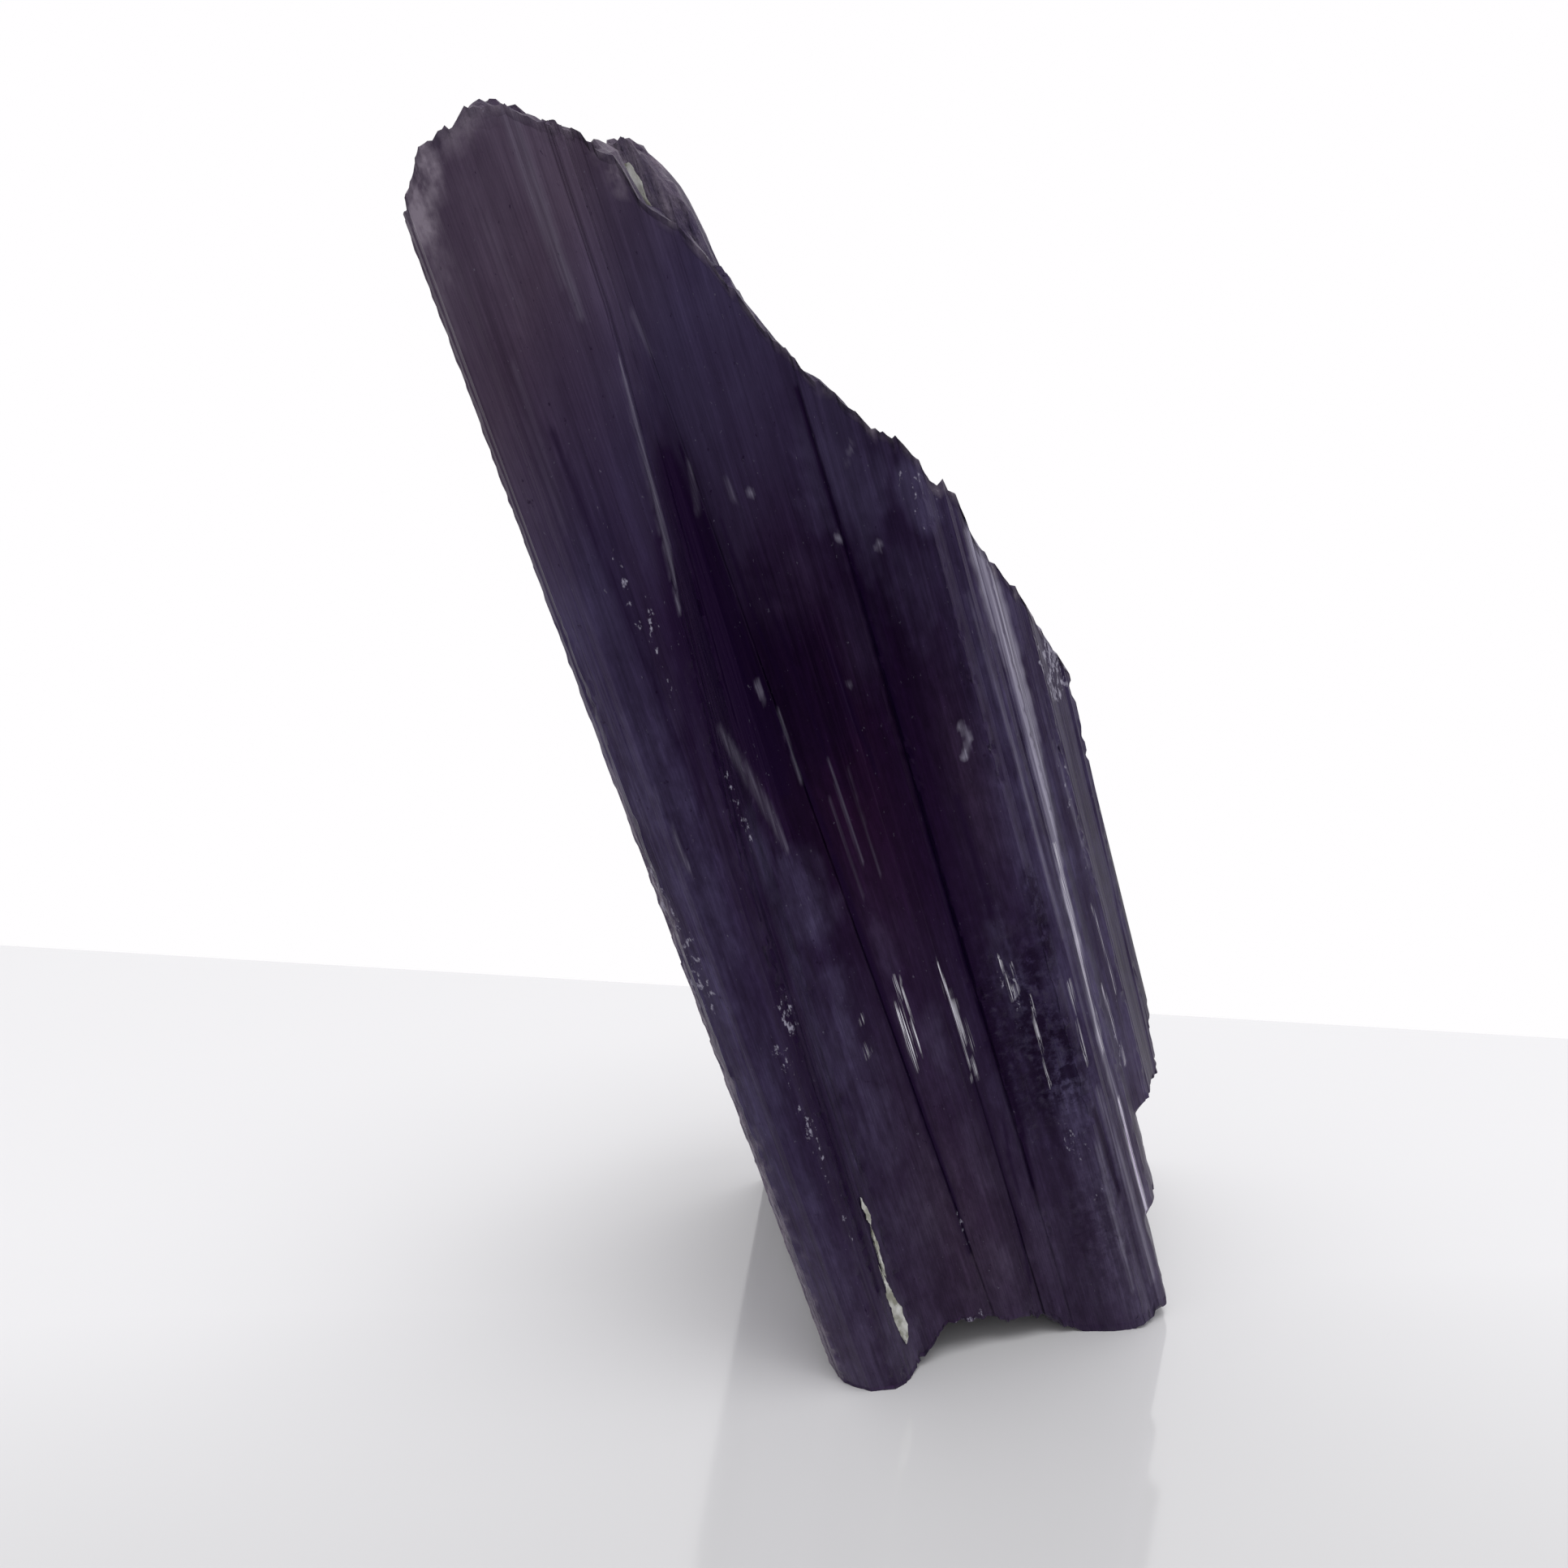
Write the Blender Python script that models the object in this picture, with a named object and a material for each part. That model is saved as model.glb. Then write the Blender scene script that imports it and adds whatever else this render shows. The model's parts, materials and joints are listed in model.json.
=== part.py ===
"""Black tourmaline: a bundle of parallel columns grown together, broken at both ends, with mica in its seams.

Lengths are in millimetres in the crystal's own axes until MM turns them into metres: x runs across the broad
front face, y from front to back, z up along the columns. The plane that the crystal stands on passes through
the origin of those axes, and a rig empty tips them to the way the crystal stands.
"""

import math
import random

import bmesh
import bpy
import numpy as np
from mathutils import Euler, Vector, noise
from mathutils.geometry import delaunay_2d_cdt, intersect_point_line

MM = 0.001
GAP = 0.3  # free space kept round a mica plate in its pocket
POCKET_SPREAD = 1.6  # how much more a slanted rim of a pocket grows, to keep that space
STANCE = (10.9, -13.3, -3.8)  # degrees about X, Y and Z that tip the columns forward and to the left

# Edges of the front, left to right, as (x, y) at each of LEVELS. A straight edge gives one pair.
LEVELS = (0.0, 75.0, 128.0)
FRONT_EDGES = [
    ((-16.2, -23.3),),
    ((-14.8, -26.0),),
    ((-11.8, -27.6),),
    ((-9.2, -27.4), (-8.4, -27.2), (-6.8, -26.2)),
    ((-7.9, -26.3), (-6.3, -25.6), (-2.2, -22.6)),  # proud lip of the left-hand column
    ((-7.0, -21.8), (-5.3, -21.6), (-1.6, -21.9)),  # floor of the seam beside it
    ((-6.1, -23.8), (-4.2, -21.0), (-1.1, -21.6)),
    ((-2.4, -21.9), (-1.5, -19.9), (-0.7, -21.1)),
    ((3.0, -19.5), (0.7, -19.6), (-0.3, -20.8)),
    ((3.6, -17.8), (1.3, -18.0), (0.1, -19.6)),  # long groove, left of the middle
    ((4.2, -19.2), (1.9, -19.3), (0.6, -20.4)),
    ((6.6, -18.9), (5.6, -19.0), (4.4, -19.4)),
    ((8.6, -18.0),),
    ((9.0, -17.3),),  # shallow groove
    ((9.5, -17.9),),
    ((11.3, -17.6),),
    ((11.9, -15.7),),  # long groove, right of the middle
    ((12.6, -17.3),),
    ((16.3, -17.8),),
    ((20.3, -17.4),),
    ((21.3, -16.2),),  # groove beside the edge of the front face
    ((22.4, -15.9),),
    ((24.8, -13.2),),  # the bright narrow face ends here
    ((25.4, -11.6),),
    ((27.7, -9.6),),
    ((28.5, -6.6),),
    ((29.6, -2.6), (30.9, -2.6), (31.3, -2.6)),
]
# Corners of the right side, the back and the left side, which carry columns of their own.
REAR_CORNERS = [
    (31.4, 6.0),
    (29.8, 17.0),
    (24.0, 27.2),
    (10.0, 30.8),
    (-5.0, 32.0),
    (-18.5, 30.2),
    (-27.0, 26.0),
    (-23.8, 11.5),
    (-20.3, -4.0),
    (-17.6, -15.5),
]
COLUMN_WIDTH = 6.4
GROOVE_DEPTH = (0.8, 1.9)  # least and most, between two rear columns
GROOVE_HALF = 0.55
GROOVE_PLACE = (0.3, 0.5)  # where a groove lies across its column
LEDGE_DEPTH = (0.3, 1.5)  # how far a rear column steps in above its ledge
LEDGE_HEIGHT = (28.0, 88.0)
LEDGE_RISE = 1.5  # height over which a ledge steps in
STRIA_PITCH = 2.0  # width of the shallow facets that a flat column is striated with
STRIA_DEPTH = 0.22
JITTER = 0.28  # share of a spacing by which points and columns stray from their grid

# The head broke along a slope: its height over each x of the front face, peak and steps included.
HEAD_LINE = [
    (-16.2, 139.8),
    (-13.6, 142.6),
    (-11.8, 144.5),
    (-6.0, 146.6),
    (-1.1, 143.0),
    (2.5, 139.6),
    (3.2, 135.6),
    (6.5, 131.2),
    (8.6, 127.0),
    (9.2, 124.8),
    (12.0, 118.7),
    (15.4, 113.0),
    (19.3, 108.2),
    (23.4, 101.2),
    (24.1, 96.8),
    (26.5, 90.7),
    (28.0, 85.4),
    (30.6, 76.9),
    (32.0, 71.0),
]
FRONT_LINE = [
    (-16.0, -23.4),
    (-11.6, -27.6),
    (-8.0, -27.0),
    (-5.0, -23.5),
    (2.7, -19.0),
    (12.0, -17.0),
    (20.4, -17.4),
    (25.0, -13.0),
    (30.6, -2.6),
    (32.0, 6.0),
]
HEAD_FALL = [(2.0, 0.12), (12.0, 0.5), (24.0, 0.8)]  # drop in the head per millimetre of depth, over x
BACK_SLOPE = (127.5, 0.8, -1.9)  # the hidden rear break: height at the axis, then rise along x and y
REAR_COLUMN = [
    (0.6, 140.9),
    (2.6, 140.6),
    (3.9, 139.6),
    (4.7, 137.5),
    (6.2, 135.0),
    (6.8, 132.6),
    (7.4, 129.0),
]
REAR_DEPTH = (-12.6, -5.2)  # y range of that column, whose height over x stands clear of the break
CELL = 7.5  # width of the columns that end on their own in the head
CELL_REACH = 40.0  # half width of the area that they cover
CELL_STEP = 2.6  # most that one of them stands over or under the slope
BREAK_ROUGHNESS = (0.9, 2.6)  # height and width of the lumps on a broken end
BREAK_EASE = 22.0  # depth over which the unevenness grows from the front to its full height

# The foot: free height under the front face over x, then the pads that touch the table.
FOOT_LINE = [
    (-15.5, 2.6),
    (-13.6, 0.8),
    (-11.6, 0.0),
    (-8.6, 0.0),
    (-6.6, 2.0),
    (-4.4, 3.0),
    (-2.0, 5.2),
    (4.7, 3.6),
    (9.0, 3.2),
    (12.0, 1.0),
    (14.0, 0.0),
    (17.4, 0.0),
    (19.4, 0.9),
    (22.8, 2.0),
]
FOOT_HOLLOW = 2.4  # free height inside the foot
FOOT_ROUGHNESS = (1.3, 6.0)  # height and width of the lumps in that hollow
FOOT_FADE = 10.0  # depth over which the front's shape gives way to the hollow
PADS = [(-11.4, -24.5, 4.0), (15.8, -14.0, 4.6), (-21.5, 20.5, 8.5), (17.0, 21.0, 9.5)]  # x, y, radius
PAD_SLOPE = 0.9  # rise of the foot round a pad

# The right-hand corner is broken away near the foot, in two steps: below each height, the side's x at y = 0.
SHELVES = [(12.5, 24.1), (24.6, 25.9)]
SHELF_SLANT = 0.05
SCOOP = ((13.0, 20.0), (22.0, 54.0), 0.9)  # rough hollow low on the front: x range, z range, depth

FOOT_ROWS = 2
EVEN_ROWS = [15.0, 20.0, 24.2, 25.2, 31.0, 38.0, 46.0]
HEAD_ROWS = 17
END_SPACING = 2.7  # between the points of a broken end
ROW_SPACING = 0.87 * END_SPACING
RIM_CLEARANCE = 0.35 * END_SPACING  # from the rim to the nearest of them
RIM_MARGIN = 0.1  # how far inside the rear column its corner points lie

# Mica plates: outline as (along the plate, height), thickness, place (x, y, z) and turn about the columns.
MICA = {
    "mica_plate_lower": {
        "outline": [
            (-1.5, -4.9),
            (0.9, -4.6),
            (1.6, -2.2),
            (1.2, 0.6),
            (1.5, 2.6),
            (0.4, 4.8),
            (-0.9, 4.4),
            (-1.6, 1.2),
        ],
        "thickness": 0.7,
        "place": (-6.55, -24.35, 16.3),
        "turn": 80.0,
    },
    "mica_flake_middle": {
        "outline": [(-1.2, -2.6), (0.7, -2.3), (1.1, 0.2), (0.5, 2.6), (-0.6, 2.2), (-1.3, 0.1)],
        "thickness": 0.5,
        "place": (-6.25, -24.2, 25.2),
        "turn": 81.0,
    },
    "mica_flake_upper": {
        "outline": [(-1.0, -1.8), (0.8, -1.5), (1.0, 0.6), (0.2, 1.9), (-1.0, 1.2)],
        "thickness": 0.5,
        "place": (-6.1, -24.1, 30.4),
        "turn": 79.0,
    },
    "mica_plate_top": {
        "outline": [(-3.4, -5.2), (1.4, -6.0), (2.3, -2.8), (2.0, 0.6), (1.6, 3.4), (0.9, 4.9), (-3.2, 4.6)],
        "thickness": 0.9,
        "place": (1.9, -14.4, 134.6),
        "turn": 6.0,
    },
}


def along(table, value):
    """Reads a table of (position, amount) pairs at a position."""
    places, amounts = zip(*table)
    return float(np.interp(value, places, amounts))


def ramp(value, low, high, soft):
    """1 between low and high, easing to 0 over a margin outside them."""
    inside = min(value - low, high - value)
    return min(max(1.0 + inside / soft, 0.0), 1.0)


def rough(x, y, z, size):
    """Smooth unevenness from -1 to 1 whose lumps are about this size."""
    return noise.noise(Vector((x, y, z)) / size)


def table_height(x, y):
    """Height, along the columns, of the plane that the crystal stands on."""
    up = Euler([math.radians(angle) for angle in STANCE]).to_matrix()[2]
    return -(up[0] * x + up[1] * y) / up[2]


def depth_behind_front(x, y):
    return max(y - along(FRONT_LINE, x), 0.0)


def cell_sites():
    """Middles and height steps of the columns that the head's break runs across, on a jittered grid."""
    draw = random.Random(23)
    count = int(CELL_REACH / CELL) + 1
    sites = []
    for i in range(-count, count + 1):
        for j in range(-count, count + 1):
            x = CELL * (i + 0.5 * (j % 2) + draw.uniform(-JITTER, JITTER))
            y = CELL * (j + draw.uniform(-JITTER, JITTER))
            sites.append((x, y, draw.uniform(-CELL_STEP, CELL_STEP)))
    return sites


SITES = cell_sites()


def head_height(x, y):
    """The broken head: the front's slope, a second slope at the back and a rear column that outlived both."""
    depth = depth_behind_front(x, y)
    front = along(HEAD_LINE, x) - along(HEAD_FALL, x) * depth
    start, along_x, along_y = BACK_SLOPE
    back = start + along_x * x + along_y * y
    cell = min(SITES, key=lambda site: math.hypot(site[0] - x, site[1] - y))
    lump_height, lump_size = BREAK_ROUGHNESS
    unevenness = cell[2] + lump_height * rough(x, y, 9.0, lump_size)
    height = min(front, back) + min(0.04 + depth / BREAK_EASE, 1.0) * unevenness
    if REAR_COLUMN[0][0] < x < REAR_COLUMN[-1][0] and REAR_DEPTH[0] < y < REAR_DEPTH[1]:
        height = max(height, along(REAR_COLUMN, x))
    return height


def foot_height(x, y):
    """The broken foot, hollow between the pads and never below the table."""
    depth = depth_behind_front(x, y)
    rim = math.exp(-depth / FOOT_FADE)
    lump_height, lump_size = FOOT_ROUGHNESS
    hollow = FOOT_HOLLOW + lump_height * rough(x, y, 5.0, lump_size)
    free = rim * along(FOOT_LINE, x) + (1.0 - rim) * hollow
    for pad_x, pad_y, radius in PADS:
        free = min(free, PAD_SLOPE * (math.hypot(x - pad_x, y - pad_y) - radius))
    return table_height(x, y) + max(free, 0.0)


def leaning(points):
    """An edge as (height, x, y) stations, from its points at LEVELS or its one point."""
    return [(z, *points[min(index, len(points) - 1)]) for index, z in enumerate(LEVELS)]


def stepped(point, inward, height, depth):
    """An edge that stands plumb and steps inward above a height."""
    above = point + inward * depth
    return [(0.0, *point), (height, *point), (height + LEDGE_RISE, *above)]


def rear_edges():
    """Edges of the rear columns: each groove's floor with a lip on both sides, and the corners."""
    draw = random.Random(11)
    corners = [Vector(point) for point in (FRONT_EDGES[-1][0], *REAR_CORNERS, FRONT_EDGES[0][0])]
    runs = [end - start for start, end in zip(corners, corners[1:])]
    normals = [Vector((-run.y, run.x)).normalized() for run in runs]
    edges = []
    ledge = draw.uniform(*LEDGE_HEIGHT), draw.uniform(*LEDGE_DEPTH)
    for start, run, inward, following in zip(corners, runs, normals, normals[1:] + [None]):
        count = max(1, round(run.length / COLUMN_WIDTH))
        for index in range(count):
            at = start + run * ((index + draw.uniform(*GROOVE_PLACE)) / count)
            step = run.normalized() * GROOVE_HALF
            floor = at + inward * draw.uniform(*GROOVE_DEPTH)
            edges.append(stepped(at - step, inward, *ledge))
            ledge = draw.uniform(*LEDGE_HEIGHT), draw.uniform(*LEDGE_DEPTH)
            edges.append(stepped(floor, inward, *ledge))
            edges.append(stepped(at + step, inward, *ledge))
        if following:
            edges.append(stepped(start + run, (inward + following).normalized(), *ledge))
    return edges


def reading(edge, z):
    """x, y of an edge at a height."""
    heights, xs, ys = zip(*edge)
    return Vector((float(np.interp(z, heights, xs)), float(np.interp(z, heights, ys))))


def striated(edges):
    """Adds shallow edges between the ones that stand further apart than a striation's pitch."""
    draw = random.Random(3)
    result = []
    for edge, after in zip(edges, edges[1:] + edges[:1]):
        result.append(edge)
        run = reading(after, LEVELS[1]) - reading(edge, LEVELS[1])
        inward = Vector((-run.y, run.x)).normalized()
        heights = sorted({point[0] for point in edge + after})
        count = int(run.length / STRIA_PITCH)
        for index in range(1, count):
            share = (index + draw.uniform(-0.2, 0.2)) / count
            shift = inward * draw.uniform(-0.4, 1.0) * STRIA_DEPTH
            points = [reading(edge, z).lerp(reading(after, z), share) + shift for z in heights]
            result.append([(z, *point) for z, point in zip(heights, points)])
    return result


def edge_at(edge, z):
    """x, y of an edge at a height, with the breaks that cut into the columns."""
    x, y = reading(edge, z)
    for shelf, side in reversed(SHELVES):
        if z < shelf:
            x = min(x, side + SHELF_SLANT * y + 0.25 * rough(x, y, z, 3.0))
    x_range, z_range, depth = SCOOP
    if y < -16.0:
        y += depth * ramp(x, *x_range, 0.5) * ramp(z, *z_range, 3.0)
    return x, y


def settle(edge, height):
    """The point where an edge, which may lean, meets a broken end."""
    z = 60.0
    for _ in range(4):
        x, y = edge_at(edge, z)
        z = height(x, y)
    return x, y, z


def column_of_points(edge):
    """Points up one edge, from the foot to the head."""
    foot, head = settle(edge, foot_height), settle(edge, head_height)
    first, last = EVEN_ROWS[0], EVEN_ROWS[-1]
    heights = [foot[2] + (first - foot[2]) * row / FOOT_ROWS for row in range(1, FOOT_ROWS)]
    heights += EVEN_ROWS
    heights += [last + (head[2] - last) * row / HEAD_ROWS for row in range(1, HEAD_ROWS)]
    return [foot] + [(*edge_at(edge, z), z) for z in heights] + [head]


def distance_to_rim(point, rim):
    """Shortest way from a point to a closed outline."""
    shortest = math.inf
    for start, end in zip(rim, rim[1:] + rim[:1]):
        foot, share = intersect_point_line(point, start, end)
        foot = start.lerp(end, min(max(share, 0.0), 1.0))
        shortest = min(shortest, (point - foot).length)
    return shortest


def add_end(mesh, rim, height, marks=()):
    """Closes a broken end with uneven triangles whose corners follow the break, with corners at the marks."""
    draw = random.Random(5)
    outline = [Vector((vertex.co.x / MM, vertex.co.y / MM)) for vertex in rim]
    low = [min(point[axis] for point in outline) for axis in (0, 1)]
    high = [max(point[axis] for point in outline) for axis in (0, 1)]
    inside = [Vector(mark) for mark in marks]
    for row, y in enumerate(np.arange(low[1], high[1], ROW_SPACING)):
        for x in np.arange(low[0] + (row % 2) * END_SPACING / 2, high[0], END_SPACING):
            shift = Vector((draw.uniform(-JITTER, JITTER), draw.uniform(-JITTER, JITTER)))
            inside.append(Vector((x, y)) + shift * END_SPACING)
    inside = [point for point in inside if distance_to_rim(point, outline) > RIM_CLEARANCE]
    result = delaunay_2d_cdt(outline + inside, [], [list(range(len(outline)))], 1, 1e-5)
    points, triangles, origins = result[0], result[2], result[3]
    corners = {}
    for triangle in triangles:
        for index in triangle:
            if index in corners:
                continue
            source = min(origins[index])
            if source < len(rim):
                corners[index] = rim[source]
            else:
                x, y = points[index]
                corners[index] = mesh.verts.new(Vector((x, y, height(x, y))) * MM)
        mesh.faces.new([corners[index] for index in triangle])


def join_rings(mesh, lower, upper):
    """A band of triangles between two rings, each quad split along its shorter diagonal."""
    count = len(lower)
    for index in range(count):
        after = (index + 1) % count
        a, b, c, d = lower[index], lower[after], upper[after], upper[index]
        if (a.co - c.co).length < (b.co - d.co).length:
            mesh.faces.new((a, b, c))
            mesh.faces.new((a, c, d))
        else:
            mesh.faces.new((a, b, d))
            mesh.faces.new((b, c, d))


def finish(name, mesh, material, rig):
    """Turns a bmesh into a named object that stands in the crystal's axes."""
    bmesh.ops.recalc_face_normals(mesh, faces=mesh.faces[:])
    data = bpy.data.meshes.new(name)
    mesh.to_mesh(data)
    mesh.free()
    data.materials.append(material)
    piece = bpy.data.objects.new(name, data)
    bpy.context.scene.collection.objects.link(piece)
    piece.parent = rig
    return piece


def make_crystal(material, rig):
    mesh = bmesh.new()
    edges = striated([leaning(points) for points in FRONT_EDGES] + rear_edges())
    columns = [[mesh.verts.new(Vector(point) * MM) for point in column_of_points(edge)] for edge in edges]
    rings = list(zip(*columns))
    for lower, upper in zip(rings, rings[1:]):
        join_rings(mesh, lower, upper)
    add_end(mesh, list(rings[0]), foot_height)
    columns_x = REAR_COLUMN[0][0] + RIM_MARGIN, REAR_COLUMN[2][0], REAR_COLUMN[-2][0] + RIM_MARGIN
    columns_y = REAR_DEPTH[0] + RIM_MARGIN, REAR_DEPTH[1] - RIM_MARGIN
    marks = [(x, y) for x in columns_x for y in columns_y]
    add_end(mesh, list(rings[-1]), head_height, marks)
    return finish("tourmaline_crystal", mesh, material, rig)


def make_plate(name, plan, grow, material, rig):
    """A flat mica plate, or with grow the pocket that leaves room for it."""
    mesh = bmesh.new()
    half = plan["thickness"] / 2 + grow
    reach = max(math.hypot(u, w) for u, w in plan["outline"])
    spread = 1.0 + POCKET_SPREAD * grow / reach
    outline = [(u * spread + math.copysign(grow, u), w * spread) for u, w in plan["outline"]]
    sheet = mesh.faces.new([mesh.verts.new(Vector((u, -half, w)) * MM) for u, w in outline])
    sides = bmesh.ops.extrude_face_region(mesh, geom=[sheet])["geom"]
    moved = [item for item in sides if isinstance(item, bmesh.types.BMVert)]
    bmesh.ops.translate(mesh, verts=moved, vec=(0.0, 2 * half * MM, 0.0))
    plate = finish(name, mesh, material, rig)
    plate.location = Vector(plan["place"]) * MM
    plate.rotation_euler.z = math.radians(plan["turn"])
    return plate


def cut_pocket(crystal, name, plan, material, rig):
    cutter = make_plate(name + "_pocket", plan, GAP, material, rig)
    cutter.hide_render = True
    cutter.display_type = "WIRE"
    pocket = crystal.modifiers.new(name + "_pocket", "BOOLEAN")
    pocket.object = cutter
    pocket.operation = "DIFFERENCE"


def make_material(name, colour, roughness, metallic):
    material = bpy.data.materials.new(name)
    material.use_nodes = True
    shader = material.node_tree.nodes["Principled BSDF"]
    shader.inputs["Base Color"].default_value = (*colour, 1.0)
    shader.inputs["Roughness"].default_value = roughness
    shader.inputs["Metallic"].default_value = metallic
    return material


def stand(rig, crystal):
    """Tips the crystal to its stance and sets the middle of its footprint box over the world's origin."""
    rig.rotation_euler = [math.radians(angle) for angle in STANCE]
    turn = rig.rotation_euler.to_matrix()
    points = np.array([turn @ vertex.co for vertex in crystal.data.vertices])
    middle = (points.min(axis=0) + points.max(axis=0)) / 2
    rig.location = (-middle[0], -middle[1], 0.0)


def main():
    for old in list(bpy.data.objects):
        bpy.data.objects.remove(old, do_unlink=True)
    rig = bpy.data.objects.new("crystal_axes", None)
    bpy.context.scene.collection.objects.link(rig)
    black = make_material("black_tourmaline", (0.016, 0.012, 0.022), 0.35, 0.0)
    silver = make_material("olive_mica", (0.33, 0.33, 0.26), 0.28, 0.15)
    crystal = make_crystal(black, rig)
    for name, plan in MICA.items():
        make_plate(name, plan, 0.0, silver, rig)
        cut_pocket(crystal, name, plan, silver, rig)
    stand(rig, crystal)


main()
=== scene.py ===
import json
import math
import random

import bmesh
import bpy
import numpy as np
from mathutils import Euler, Matrix, Vector, noise
from mathutils.geometry import delaunay_2d_cdt
from mathutils.kdtree import KDTree

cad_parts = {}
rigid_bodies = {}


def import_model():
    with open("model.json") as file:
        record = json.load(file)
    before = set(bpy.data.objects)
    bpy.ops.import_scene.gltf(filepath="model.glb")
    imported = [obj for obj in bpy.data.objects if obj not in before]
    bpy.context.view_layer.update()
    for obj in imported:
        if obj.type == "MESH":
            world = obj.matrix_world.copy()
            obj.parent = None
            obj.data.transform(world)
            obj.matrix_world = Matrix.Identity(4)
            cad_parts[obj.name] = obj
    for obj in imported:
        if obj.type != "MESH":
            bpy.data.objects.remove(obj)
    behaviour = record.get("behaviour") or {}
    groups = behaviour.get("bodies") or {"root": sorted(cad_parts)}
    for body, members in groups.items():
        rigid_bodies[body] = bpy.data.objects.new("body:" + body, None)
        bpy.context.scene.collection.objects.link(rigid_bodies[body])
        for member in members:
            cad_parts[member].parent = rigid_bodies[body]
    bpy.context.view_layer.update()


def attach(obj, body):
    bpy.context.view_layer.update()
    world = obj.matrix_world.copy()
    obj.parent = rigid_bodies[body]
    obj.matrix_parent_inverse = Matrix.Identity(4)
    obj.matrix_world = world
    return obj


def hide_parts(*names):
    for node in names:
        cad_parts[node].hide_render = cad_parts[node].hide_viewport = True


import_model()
print("frame loaded")

mm = 0.001
scene = bpy.context.scene

# how the crystal stands: its turn in degrees and the shift that centres its foot, in millimetres
stance = {"turn": (10.9, -13.3, -3.8), "shift": (11.041, 9.622, 0)}
standing = Matrix.LocRotScale(
    Vector(stance["shift"]) * mm, Euler([math.radians(angle) for angle in stance["turn"]]), None
)

# everything below is in millimetres in the crystal's own axes:
# x along the broad front, y from front to back, z up the columns
body = {
    "levels": (0, 75, 128),
    # edges of the front from left to right, one (x, y) or one for each level
    "frontEdges": [
        ((-16.2, -23.3),), ((-14.8, -26),), ((-11.8, -27.6),),
        ((-9.2, -27.4), (-8.4, -27.2), (-6.8, -26.2)),
        ((-7.9, -26.3), (-6.3, -25.6), (-2.2, -22.6)),  # proud lip of the left column
        ((-6.5, -23.9), (-4.9, -22.9), (-1.6, -22.1)),  # floor of the seam
        ((-5.9, -23.6), (-4.2, -21.5), (-1.1, -21.6)),
        ((-2.4, -21.9), (-1.5, -19.9), (-0.7, -21.1)),
        ((3.4, -19.5), (1.15, -19.6), (-0.1, -20.7)),
        ((3.6, -19.2), (1.3, -19.38), (0, -20.62)),  # long groove left of the middle
        ((3.8, -19.3), (1.45, -19.5), (0.1, -20.65)),
        ((6.6, -18.9), (5.6, -19), (4.4, -19.4)),
        ((8.85, -18),),
        ((9, -17.8), (9, -17.93), (9, -17.99)),
        ((9.15, -17.95),),
        ((11.7, -17.6), (11.2, -17.6), (11.7, -17.6)),
        ((11.9, -17.4), (11.8, -17.15), (11.85, -17.52)),  # long groove right of the middle
        ((12.1, -17.5), (12.2, -17.6), (12, -17.6)),
        ((16.3, -17.8),), ((20.3, -17.4),), ((21.3, -16.2),), ((22.4, -15.9),),
        ((24.8, -13.2),),  # the narrow bright face lies before this one
        ((25.4, -11.6),), ((27.7, -9.6),), ((28.5, -6.6),),
        ((29.6, -2.6), (30.9, -2.6), (31.3, -2.6)),
    ],
    "rearCorners": [
        (31.4, 6), (29.8, 17), (24, 27.2), (10, 30.8), (-5, 32), (-18.5, 30.2), (-27, 26), (-23.8, 11.5),
        (-20.3, -4), (-17.6, -15.5),
    ],
    "columnWidth": 6.4,
    "grooveDepth": (0.8, 1.9),
    "grooveShare": (0.25, 0.95),  # how much of that depth is left from place to place
    "grooveHalf": 0.55,
    "groovePlace": (0.3, 0.5),
    "ledgeDepth": (0.3, 1.5),
    "ledgeHeight": (28, 88),
    "ledgeRise": 1.5,
    "shelves": [(12.5, 24.1), (24.6, 25.9)],  # below each height the right side stands at this x
    "shelfSlant": 0.05,
    "scoop": {"x": (14.6, 20.4), "z": (32, 52), "depth": 0.45},
}

head = {
    "line": [
        (-16.2, 139.8), (-13.6, 142.6), (-11.8, 144.5), (-6, 146.6), (-1.1, 143), (2.5, 139.6),
        (3.2, 135.6), (6.5, 131.2), (8.6, 127), (9.2, 124.8), (12, 118.7), (15.4, 113), (19.3, 108.2),
        (23.4, 101.2), (24.1, 96.8), (26.5, 90.7), (28, 85.4), (30.6, 76.9), (32, 71),
    ],
    "front": [
        (-16, -23.4), (-11.6, -27.6), (-8, -27), (-5, -23.5), (2.7, -19), (12, -17), (20.4, -17.4),
        (25, -13), (30.6, -2.6), (32, 6),
    ],
    "fall": [(2, 0.12), (12, 0.5), (24, 0.8)],
    "backSlope": (127.5, 0.8, -1.9),
    "rearColumn": [
        (0.6, 140.9), (2.6, 140.6), (3.9, 139.6), (4.7, 137.5), (6.2, 135), (6.8, 132.6), (7.4, 129),
    ],
    "rearDepth": (-12.6, -5.2),
    "cell": 7.5,
    "cellReach": 40,
    "cellStep": 2.6,
    "jitter": 0.28,
    "lump": (0.9, 2.6),
    "ease": 22,
    "splinters": [(1.9, 0.6), (0.8, 0.45), (0.45, 0.25)],  # width and height of the small broken rods
}

foot = {
    "line": [
        (-15.5, 2.6), (-13.6, 0.8), (-11.6, 0), (-8.6, 0), (-6.6, 2), (-4.4, 3), (-2, 5.2), (4.7, 3.6),
        (9, 3.2), (12, 1), (14, 0), (17.4, 0), (19.4, 0.9), (22.8, 2),
    ],
    "hollow": 2.4,
    "lump": (1.3, 6),
    "fade": 10,
    "pads": [(-11.4, -24.5, 4), (15.8, -14, 4.6), (-21.5, 20.5, 8.5), (17, 21, 9.5)],
    "padSlope": 0.9,
    "splinters": [(2, 0.45), (0.9, 0.4), (0.45, 0.25)],
}


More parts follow.
